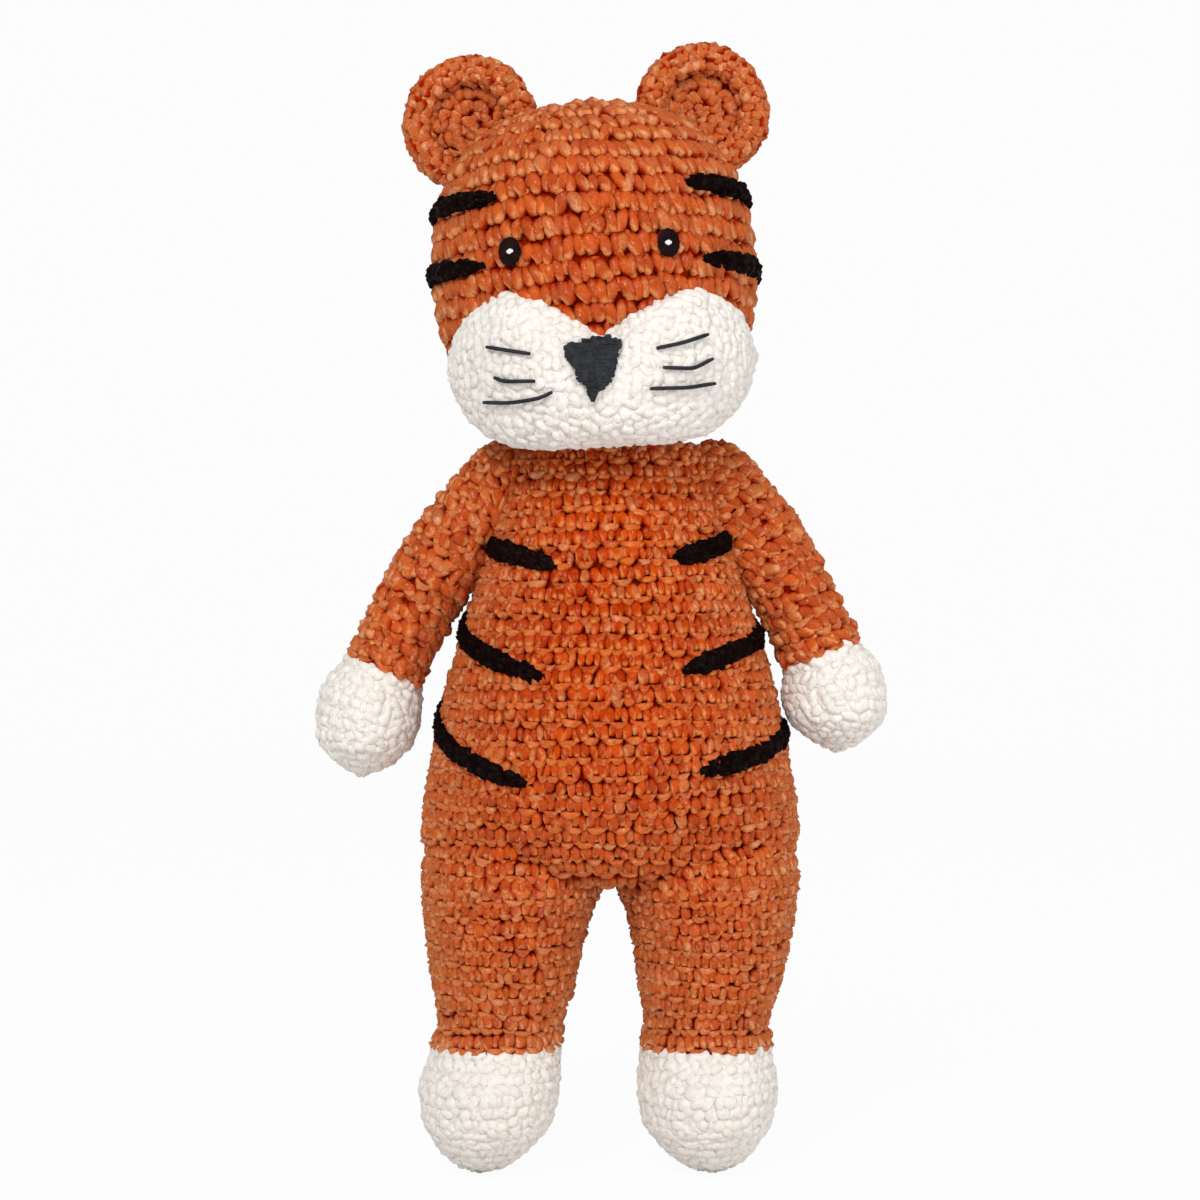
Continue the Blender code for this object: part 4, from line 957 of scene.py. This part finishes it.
rings = []
half = np.linspace(0.05, 1, 14)
for share in (*-np.flip(half), 0.0, *half):
    # the lobe on the toy's right stands a little higher
    rise = muzzle["lobeRise"] * max(0.0, math.sin(math.pi * max(0.0, -share)))
    y, z, tall, deep = muzzleRing(share, rise)
    spot = (muzzle["shift"] + muzzle["halfWidth"] * share, y, z)
    rings.append((spot, (0, deep + tiny, 0), (0, 0, tall + tiny)))
form = Form(rings, headMiddle)
start, end = lap, form.stops[-1] - lap
guide = form.stitchGuide(muzzle["work"], start, end)
guide = keep(guide, ~insideHead(guide[0], muzzle["inHead"]))
muzzleSkin = crocheted("muzzleSkin", form, muzzle["work"], guide, start, end, "white")
dress(muzzleSkin, "head", ("muzzle", "muzzle_stuffing"))

ear = {
    "radius": 0.0265, "rimRadius": 0.0060, "thickness": 0.0150, "offset": 0.0448, "rise": 0.0608,
    "turn": math.radians(10.0), "cup": 0.0085, "cupRise": 0.0015, "inHead": 0.004,
    "work": {**usual, "stitch": grainStitch, "stray": 0.35, "twist": 20, "scale": 1.1, "pale": 0.75,
             "paleShare": 0.15, "pitch": 0.0046, "width": 0.0056, "inset": 0.0026, "clothInset": 0.0031,
             "grid": (36, 40), "seed": 23, "firstSeed": 80},
}
earRim = ear["radius"] - ear["rimRadius"]
earTop = ear["thickness"] - ear["rimRadius"]
# Half a section of an ear: its flat back, its round rim and its cup
profile = [(tiny, 0), (earRim * 0.45, 0), (earRim * 0.85, ear["rimRadius"] * 0.25)]
for out, up in roundEnd(range(-1, 6), 30):
    profile.append((earRim + ear["rimRadius"] * out, earTop + ear["rimRadius"] * up))
profile += [(earRim * 0.72, ear["cup"] + ear["cupRise"]), (earRim * 0.42, ear["cup"]), (tiny, ear["cup"])]
print("tiger: ears")
for side, sign in sides:
    place = headMiddle @ Matrix.Translation((sign * ear["offset"], ear["thickness"] / 2, ear["rise"]))
    place = place @ Matrix.Rotation(sign * ear["turn"], 4, "Z") @ Matrix.Rotation(math.pi / 2, 4, "X")
    form = Form([flatRing((0, 0, up), out, out) for out, up in profile], place)
    guide = form.stitchGuide(ear["work"], 0.0, form.stops[-1], sign)
    guide = keep(guide, ~insideHead(guide[0], ear["inHead"]))
    flap = crocheted("%sEarSkin" % side, form, ear["work"], guide, short, form.stops[-1] - short, "orange")
    dress(flap, "head", ("ear_" + side,))


# Tail

tail = {
    "height": 0.181, "inset": 0.002, "radius": 0.009, "drop": 0.068, "reach": 0.019,
    # backwards, down and radius, all as shares
    "rings": ((0, 0, 1), (0.42, 0.07, 1), (0.76, 0.20, 1), (0.95, 0.38, 1), (1, 0.58, 1), (0.98, 0.78, 1),
              (0.95, 0.91, 0.85), (0.94, 0.98, 0.45)), "tip": (0.94, 1, 0),
    "bands": (0.56, 0.76), "bandRadius": 0.0030, "bandLift": 0.0011, "bandPoints": 25,
    "work": {**usual, "stitch": veeStitch, "stray": 0.25, "twist": 8, "scale": 0.9, "pitch": 0.0062,
             "width": 0.0078, "inset": 0.0014, "clothInset": 0.0026, "grid": (40, 24), "up": -1.0, "seed": 29,
             "firstSeed": 90},
}
print("tiger: tail")
bodyDepth = rowLine(body["rings"])((tail["height"] - hips["height"]) / body["height"])[0, 1]
tailPlace = middle @ Matrix.Translation((0, body["halfDepth"] * bodyDepth - tail["inset"], tail["height"]))
spots = [np.array((0, tail["reach"] * back, -tail["drop"] * down))
         for back, down, _ in (*tail["rings"], tail["tip"])]
rings = bentRings(spots, [tail["radius"] * size for _, _, size in tail["rings"]], (1, 0, 0), 5, 16)
# the tail's rings begin at its side
rings = [(spot, side, deep) for spot, deep, side in rings] + [flatRing(spots[-1], tiny, tiny)]
tailShape = Form(rings, tailPlace)
end = tailShape.stops[-1]
guide = tailShape.stitchGuide(tail["work"], tailShape.stops[2], end)
tailSkin = crocheted("tailSkin", tailShape, tail["work"], guide, short, end - short, "orange")
dress(tailSkin, "tail", ("tail", "tail_stuffing"))


# Sewn strips of black yarn

def strandMesh(name, lines, radius, yarn, sideCount):
    # each line: points, and how thick the strand is at each as a share of its radius
    spots, edges, swells = [], [], []
    for points, shares in lines:
        first = len(spots)
        spots += [tuple(p) for p in points]
        edges += [(first + i, first + i + 1) for i in range(len(points) - 1)]
        swells += list(shares)
    mesh = bpy.data.meshes.new(name + "Line")
    mesh.from_pydata(spots, edges, [])
    mark(mesh, "swell", "FLOAT", swells)
    made = growMesh(yarnAlong, mesh, {"Radius": radius, "Sides": sideCount, "Yarn": materials[yarn]})
    made.name = name
    return made


def tufts(spots, outs, alongs, sizes, twist, seed):
    # puffs of pile that lie along given ways, turned and sized a little by chance
    chance = np.random.default_rng(seed)
    count = len(spots)
    angle = np.radians(chance.normal(0, twist, count))[:, None]
    across = np.cross(alongs, outs)
    sizes = sizes * (1 + chance.normal(0, 0.12, (count, 3)))
    return (spots, outs, alongs * np.cos(angle) + across * np.sin(angle), sizes,
            chance.integers(*straightKinds, count), np.full(count, 0.2))


def flatten(mesh, spots, outs, share):
    # presses a strand against the form that it lies on
    place = vectors(mesh.vertices, "co")
    near = np.argmin(((place[:, None, :] - spots[None, :, :]) ** 2).sum(2), axis=1)
    off = ((place - spots[near]) * outs[near]).sum(1)
    place = place - outs[near] * (off * (1 - share))[:, None]
    mesh.vertices.foreach_set("co", place.ravel())
    mesh.update()


sewn = {
    "flat": 0.62, "lanes": (-0.68, -0.22, 0.24, 0.66), "sink": 0.30, "puff": (0.36, 0.62, 0.40), "twist": 22,
    "wave": 0.06, "waves": 1.3, "lump": 0.09, "stray": 0.0003, "sides": 12, "depth": 0.3,
}


def sewnYarn(name, spots, outs, radius, shape, yarn, seed):
    # a strand of chenille pressed on a form, with its pile standing along it in four lanes
    chance = np.random.default_rng(seed)
    count = len(spots)
    lumps = 1 + sewn["wave"] * np.sin(np.linspace(0, 1, count) * count * sewn["waves"] + seed)
    lumps = lumps + chance.normal(0, sewn["lump"], count)
    base = strandMesh(name, [(spots, shape * lumps)], radius, yarn, sewn["sides"])
    flatten(base, spots, outs, sewn["flat"])
    alongs = unit(np.gradient(spots, axis=0))
    acrosses = np.cross(alongs, outs)
    wide = (radius * shape)[:, None]
    rows = []
    for lane in sewn["lanes"]:
        drop = sewn["flat"] * math.sqrt(1 - lane ** 2) - sewn["sink"]
        stray = chance.normal(0, sewn["stray"], (count, 3))
        lain = spots + acrosses * wide * lane + outs * wide * drop + stray
        rows.append((lain, outs, alongs, wide * sewn["puff"]))
    puffs = tufts(*[np.concatenate(part) for part in zip(*rows)], sewn["twist"], seed)
    work = {"sizeChange": 0.1, "turnChange": 0.1, "scale": 1.0, "seed": seed}
    # the pressed strand under the puffs carries some of the painted crease shade
    return tufted(name, base, puffs, work, yarn, sewn["depth"])


stripe = {
    "radius": 0.0037, "lift": 0.0001, "points": 26,
    "taper": 0.78, "swellGain": 4, "startGain": 11, "endGain": 22, "least": 0.2,
    # of each: its name, and its angles from the front and heights at its start, middle and end
    "head": {
        "right": (("upper", (36, 70, 112), (0.358, 0.38, 0.365)),
                  ("lower", (41, 84, 112), (-0.026, 0, 0.008))),
        "left": (("upper", (35.5, 72, 112), (0.395, 0.391, 0.37)),
                 ("lower", (41, 77, 110), (-0.053, -0.062, -0.08))),
    },
    "body": {
        "right": (("upper", (24, 48, 72), (0.72, 0.743, 0.766)),
                  ("middle", (23, 62, 108), (0.472, 0.538, 0.62)),
                  ("lower", (25, 62, 108), (0.238, 0.313, 0.42))),
        "left": (("upper", (29, 50, 70), (0.733, 0.755, 0.775)),
                 ("middle", (26, 62, 112), (0.487, 0.54, 0.59)),
                 ("lower", (29, 62, 110), (0.267, 0.312, 0.375))),
    },
}
# What the stripes lie on: its form, its moving body, where its heights start, how tall it is and a seed
striped = {
    "head": (headShape, "head", 0.0, head["halfHeight"], 100),
    "body": (trunk, "torso", hips["height"], body["height"], 110),
}
print("tiger: stripes")
t = np.linspace(0, 1, stripe["points"])
bend = np.array([(1 - t) * (1 - 2 * t), 4 * t * (1 - t), t * (2 * t - 1)])
ends = np.minimum(t * stripe["startGain"], (1 - t) * stripe["endGain"])
shape = stripe["taper"] + (1 - stripe["taper"]) * np.clip(t * stripe["swellGain"], 0, 1)
shape = shape * np.sqrt(np.clip(ends, stripe["least"], 1))
for side, sign in sides:
    for part, (form, bodyName, low, tall, seed) in striped.items():
        for i, (place, angles, heights) in enumerate(stripe[part][side]):
            angle = np.radians(sign * np.array(angles) @ bend)
            s = np.array([form.at(low + tall * h) for h in np.array(heights) @ bend])
            spots, outs, _ = form.points(s, angle - math.pi / 2, stripe["lift"])
            name = "%s%s%sStripe" % (side, part.capitalize(), place.capitalize())
            piece = sewnYarn(name, spots, outs, stripe["radius"], shape, "black", seed + i + sign)
            dress(piece, bodyName, ("%s_stripe_%s_%s" % (part, side, place),))

turn = np.linspace(0, 2 * math.pi, tail["bandPoints"])
even = np.ones(len(turn))
for i, share in enumerate(tail["bands"]):
    spots, outs, _ = tailShape.points(even * tailShape.at(-tail["drop"] * share), turn, tail["bandLift"])
    band = sewnYarn("tailBand%d" % (i + 1), spots, outs, tail["bandRadius"], even, "black", 120 + i)
    dress(band, "tail", ("tail_band_%d" % (i + 1),))


# Eyes, nose and whiskers

eye = {
    "halfWidth": 0.0047, "halfHeight": 0.0061, "offset": 0.0299, "shift": -0.0016, "rise": 0.0019,
    "threads": 34, "radius": 0.00066, "dome": 0.0012, "domeWide": 1.03, "lift": 0.0004, "overlap": 0.0003,
    "wobble": 0.03,
    "steps": (0.14, 0.35, 0.57, 0.74, 0.82, 0.85), "thin": 0.75, "swell": 0.5,
    "discLifts": (-0.001, 0.0013), "discSwells": (3.2, 2.6),
    "knotReaches": (0.0006, 0.0010, 0.0010, 0.0005), "knotStep": 0.00055, "knotRadius": 0.00055,
    "knotLow": 0.0020, "knotHigh": 0.0024, "knotSwells": (0.7, 1.15, 0.7), "lean": (0.0002, -0.0001),
}


def facePoint(x, z, lift):
    # a place on the front of the head by its own x and z
    deep = headWide(np.array(z)) ** 2 - (x / head["halfWidth"]) ** 2
    return onHead(x, float(-head["halfDepth"] * np.sqrt(np.clip(deep, 0, None)) - lift), z)


print("tiger: eyes")
for side, sign in sides:
    centre = eye["shift"] + sign * eye["offset"]
    lines = []
    for i in range(eye["threads"]):
        angle = 2 * math.pi * i / eye["threads"]
        wobble = 1.0 + eye["wobble"] * math.sin(i * 2.4)
        points = []
        for t in eye["steps"]:
            x = centre + eye["halfWidth"] * t * wobble * math.cos(angle)
            z = eye["rise"] + eye["halfHeight"] * t * wobble * math.sin(angle)
            dome = eye["dome"] * math.sqrt(max(0.0, 1 - (t / eye["domeWide"]) ** 2))
            points.append(facePoint(x, z, eye["lift"] + dome + eye["overlap"] * (i % 2)))
        lines.append((points, [eye["thin"] + eye["swell"] * t for t in eye["steps"]]))
    lines.append(([facePoint(centre, eye["rise"], lift) for lift in eye["discLifts"]], eye["discSwells"]))
    piece = addPiece("%sEye" % side, strandMesh("%sEye" % side, lines, eye["radius"], "eyeThread", 6))
    dress(piece, "head", ("eye_" + side,))
    knot = []
    for i, reach in enumerate(eye["knotReaches"]):
        x = centre + (i - 1.5) * eye["knotStep"]
        top = facePoint(x + eye["lean"][0], eye["rise"] + reach, eye["knotLow"])
        low = facePoint(x + eye["lean"][1], eye["rise"] - reach, eye["knotLow"])
        knot.append(([top, facePoint(x, eye["rise"], eye["knotHigh"]), low], eye["knotSwells"]))
    mesh = strandMesh("%sEyeGlint" % side, knot, eye["knotRadius"], "whiteThread", 6)
    dress(addPiece("%sEyeGlint" % side, mesh), "head", ("eye_glint_" + side,))

nose = {
    # from the photograph, in millimetres from the head's middle: height, left end and right end
    "rows": ((-33.7, -1.5, 3.4), (-34.4, -5.6, 7.0), (-35.5, -10.9, 8.3), (-37.4, -12.8, 8.1),
             (-39.2, -12.5, 7.4), (-41.0, -12.0, 6.8), (-43.0, -10.2, 6.4), (-44.8, -8.7, 6.0),
             (-47.0, -8.9, 5.1), (-48.7, -8.2, 4.1), (-50.5, -6.5, 2.8), (-52.0, -4.6, 1.5),
             (-53.2, -3.8, -0.8)),
    "stem": ((-3.1, -51.0), (-3.1, -54.5), (-3.2, -57.6)), "stemWide": 1.3, "stemSwells": (1.1, 1.3, 0.6),
    # tufts of the stem: place across, height, half width and half length
    "stemTufts": ((-2.7, -51.8, 1.0, 1.9), (-4.0, -54.1, 1.2, 2.1), (-2.2, -54.1, 1.2, 2.1),
                  (-3.2, -55.8, 1.1, 2.0)),
    "stemTuftThick": 0.85, "stemTwist": 6,
    "threads": 24, "radius": 0.00082, "lift": 0.0012, "puff": 0.0009, "sink": 0.0004, "overlap": 0.0003,
    "wobble": 0.35, "lump": 0.14,
    "tuftRow": 1.5, "tuftStep": 2.1, "tuftSize": (1.0, 1.75, 0.85), "twist": 28, "tuftStray": 0.3,
    "tuftHem": 0.6, "tuftEdge": 1.1,
    "work": {"sizeChange": 0.15, "turnChange": 0.12, "scale": 1.0, "seed": 142},
}


def muzzlePoint(x, z, lift):
    # a place on the front of the muzzle by the head's own x and z
    y, level, tall, deep = muzzleRing((x - muzzle["shift"]) / muzzle["halfWidth"])
    rise = min(abs(z - level) / tall, 0.999)
    return onHead(x, y - (deep * math.sqrt(1 - rise ** 2) + lift), z)


def domed(share):
    # how far the nose swells, from one end of a row to the other
    return math.sqrt(max(0.0, 1 - (2 * share - 1) ** 2)) * nose["puff"]


def tuftedThread(name, lines, sideCount, spots, sizes, upAxis, twist, seed, node):
    # dark thread sewn on the muzzle, with tufts that lie along one of the head's axes
    base = strandMesh(name, lines, nose["radius"], "charcoalThread", sideCount)
    outs, alongs = [np.tile(way, (len(spots), 1)) for way in (-toHead[:3, 1], toHead[:3, upAxis])]
    puffs = tufts(np.array(spots), outs, alongs, np.array(sizes) / 1000, twist, seed)
    dress(tufted(name, base, puffs, nose["work"], "charcoalThread"), "head", (node,))


print("tiger: nose and whiskers")
noseEdge = rowLine([(-high, *ends) for high, *ends in nose["rows"]])
high, low = nose["rows"][0][0], nose["rows"][-1][0]
lines = []
for i in range(nose["threads"]):
    row = high + (low - high) * i / (nose["threads"] - 1)
    left, right = noseEdge(-row)[0] + nose["wobble"] * np.array((math.sin(i * 2.7), math.sin(i * 4.1)))
    points, shares = [], []
    for t in np.linspace(0, 1, 9):
        x, z = left + (right - left) * t, row + nose["wobble"] * math.sin(i * 1.7 + t * 4.5)
        lift = nose["lift"] + domed(t) - nose["sink"] + nose["overlap"] * (i % 2)
        points.append(muzzlePoint(x / 1000, z / 1000, lift))
        shares.append(1.0 + nose["lump"] * math.sin(i * 2.1 + t * 7))
    lines.append((points, shares))
chance = np.random.default_rng(140)
spots = []
for i, row in enumerate(np.arange(high - nose["tuftHem"], low + nose["tuftHem"], -nose["tuftRow"])):
    left, right = noseEdge(-row)[0] + (nose["tuftEdge"], -nose["tuftEdge"])
    for x in np.linspace(left, right, max(2, round((right - left) / nose["tuftStep"]) + i % 2)):
        puff = domed((x - left) / max(right - left, 1e-6))
        z = row + chance.normal(0, nose["tuftStray"])
        spots.append(muzzlePoint(x / 1000, z / 1000, nose["lift"] + puff))
tuftedThread("noseSatin", lines, 6, spots, [nose["tuftSize"]] * len(spots), 0, nose["twist"], 141, "nose")
lines = []
top, foot = nose["stem"][0][1], nose["stem"][-1][1]
for across in (-1, 0, 1):
    points = []
    for x, z in nose["stem"]:
        apart = across * nose["stemWide"] * (0.1 + 0.9 * ((z - foot) / (top - foot)) ** 0.4)
        points.append(muzzlePoint((x + apart) / 1000, z / 1000, nose["lift"] * (1.0 if across else 1.2)))
    lines.append((points, nose["stemSwells"]))
spots = [muzzlePoint(x / 1000, z / 1000, nose["lift"]) for x, z, _, _ in nose["stemTufts"]]
sizes = [(wide, long, nose["stemTuftThick"]) for _, _, wide, long in nose["stemTufts"]]
tuftedThread("noseStem", lines, 8, spots, sizes, 2, nose["stemTwist"], 143, "nose_stem")

whisker = {
    "radius": 0.00075, "lift": 0.0012, "points": 12, "end": 0.8,
    # from the photograph, in millimetres from the head's middle
    "left": (((21.5, -38.8), (31.1, -37.0), (41.4, -33.8)), ((23.6, -46.1), (33.7, -46.6), (42.7, -43.0)),
             ((18.3, -53.8), (30.2, -53.8), (43.2, -52.2))),
    "right": (((-42.2, -33.9), (-34.0, -36.2), (-25.7, -38.3)),
              ((-39.8, -45.8), (-35.6, -47.6), (-24.4, -48.6)),
              ((-44.6, -54.4), (-34.0, -55.7), (-24.2, -55.1), (-18.2, -53.1))),
}
steps = np.linspace(0, 1, whisker["points"])
shares = [whisker["end"]] + [1.0] * (len(steps) - 2) + [whisker["end"]]
for side, sign in sides:
    for row, points in enumerate(whisker[side]):
        line = through(np.linspace(0, 1, len(points)), points)
        spots = [muzzlePoint(*(spot / 1000), whisker["lift"]) for spot in line(steps)]
        name = "%sWhisker%d" % (side, row + 1)
        piece = addPiece(name, strandMesh(name, [(spots, shares)], whisker["radius"], "charcoalThread", 8))
        dress(piece, "head", ("whisker_%s_%d" % (side, row + 1),))

neck = {"radius": 0.0275, "yarnRadius": 0.0026, "lift": 0.0028, "points": 61}
angle = np.linspace(0, 2 * math.pi, neck["points"])
outs = np.column_stack([np.cos(angle), np.sin(angle), np.zeros(len(angle))])
spots = outs * neck["radius"] + (standing["x"], standing["y"], head["neckHeight"] + neck["lift"])
seamYarn = sewnYarn("neckSeamYarn", spots, outs, neck["yarnRadius"], np.ones(len(angle)), "orange", 130)
dress(seamYarn, "neck", ("neck_seam",))

for ob in list(puffKinds.objects):
    bpy.data.objects.remove(ob, do_unlink=True)
bpy.data.collections.remove(puffKinds)


# Room, light and camera

room = {
    "white": (0.93, 0.93, 0.93, 1.0), "rough": 0.9, "worldLevel": 0.47, "shown": 0.86,
    "corners": ((-4, -3, 0), (4, -3, 0), (4, 3, 0), (-4, 3, 0), (4, 3, 4), (-4, 3, 4)),
    "sheets": ((0, 1, 2, 3), (3, 2, 4, 5)), "aim": (0, 0, 0.22),
    # of each lamp: place, size, power, and whether it only makes glints
    "lamps": {"key": ((-0.5, -1.5, 1.35), (0.9, 0.7), 19.6, False),
              "fill": ((1.2, -1.2, 0.6), (1.2, 1.0), 8.6, False),
              "glint": ((-0.18, -1.3, 0.62), (0.10, 0.10), 5.0, True)},
}
print("tiger: room and camera")


def shownWhite(make, part, surface, kind, output):
    # mixes a surface with plain white, which takes its place where part is 1
    clear = make.node(kind, {}, {"Color": (1, 1, 1, 1), "Strength": 1.0})
    mixed = make.node("ShaderNodeMixShader", {}, {0: part, 1: surface.outputs[0], 2: clear.outputs[0]})
    make.feed(make.tree.nodes[output], {"Surface": mixed.outputs[0]})


# A pale floor and wall that keep the shadow faintly and read white to the camera
paleRoom, make, surface = newMaterial("paleRoom")
make.feed(surface, {"Base Color": room["white"], "Roughness": room["rough"]})
seen = make.node("ShaderNodeLightPath")
rays = [make.value(seen, "Is %s Ray" % kind) for kind in ("Camera", "Glossy", "Transmission")]
ray = rays[0] + rays[1] + rays[2]
shownWhite(make, (ray * room["shown"]).between(0.0, 1.0), surface, "ShaderNodeEmission", "Material Output")
floorMesh = bpy.data.meshes.new("floor")
floorMesh.from_pydata(room["corners"], [], room["sheets"])
floorMesh.materials.append(paleRoom)
addPiece("floor", floorMesh)

world = bpy.data.worlds.new("studio")
bpy.context.scene.world = world
world.use_nodes = True
make = Maker(world.node_tree)
back = world.node_tree.nodes["Background"]
make.feed(back, {"Color": (1, 1, 1, 1), "Strength": room["worldLevel"]})
seen = make.value(make.node("ShaderNodeLightPath"), "Is Camera Ray")
shownWhite(make, seen, back, "ShaderNodeBackground", "World Output")

for name, (place, size, power, glintOnly) in room["lamps"].items():
    lamp = bpy.data.lights.new(name, "AREA")
    lamp.shape = "RECTANGLE"
    lamp.size, lamp.size_y = size
    lamp.energy = power
    ob = bpy.data.objects.new(name, lamp)
    ob.location = place
    ob.rotation_euler = (Vector(room["aim"]) - Vector(place)).to_track_quat("-Z", "Y").to_euler()
    ob.visible_diffuse = not glintOnly
    bpy.context.scene.collection.objects.link(ob)

camera = {"away": 1.125, "x": -0.0007, "z": 0.2268, "frame": 0.480}
lens = bpy.data.cameras.new("camera")
lens.sensor_fit = "HORIZONTAL"
lens.angle = 2 * math.atan(camera["frame"] / 2 / camera["away"])
viewer = bpy.data.objects.new("camera", lens)
viewer.location = (camera["x"], -camera["away"], camera["z"])
viewer.rotation_euler = (math.pi / 2, 0, 0)
bpy.context.scene.collection.objects.link(viewer)
bpy.context.scene.camera = viewer
bpy.context.scene.view_settings.view_transform = "Standard"

print("tiger: done")
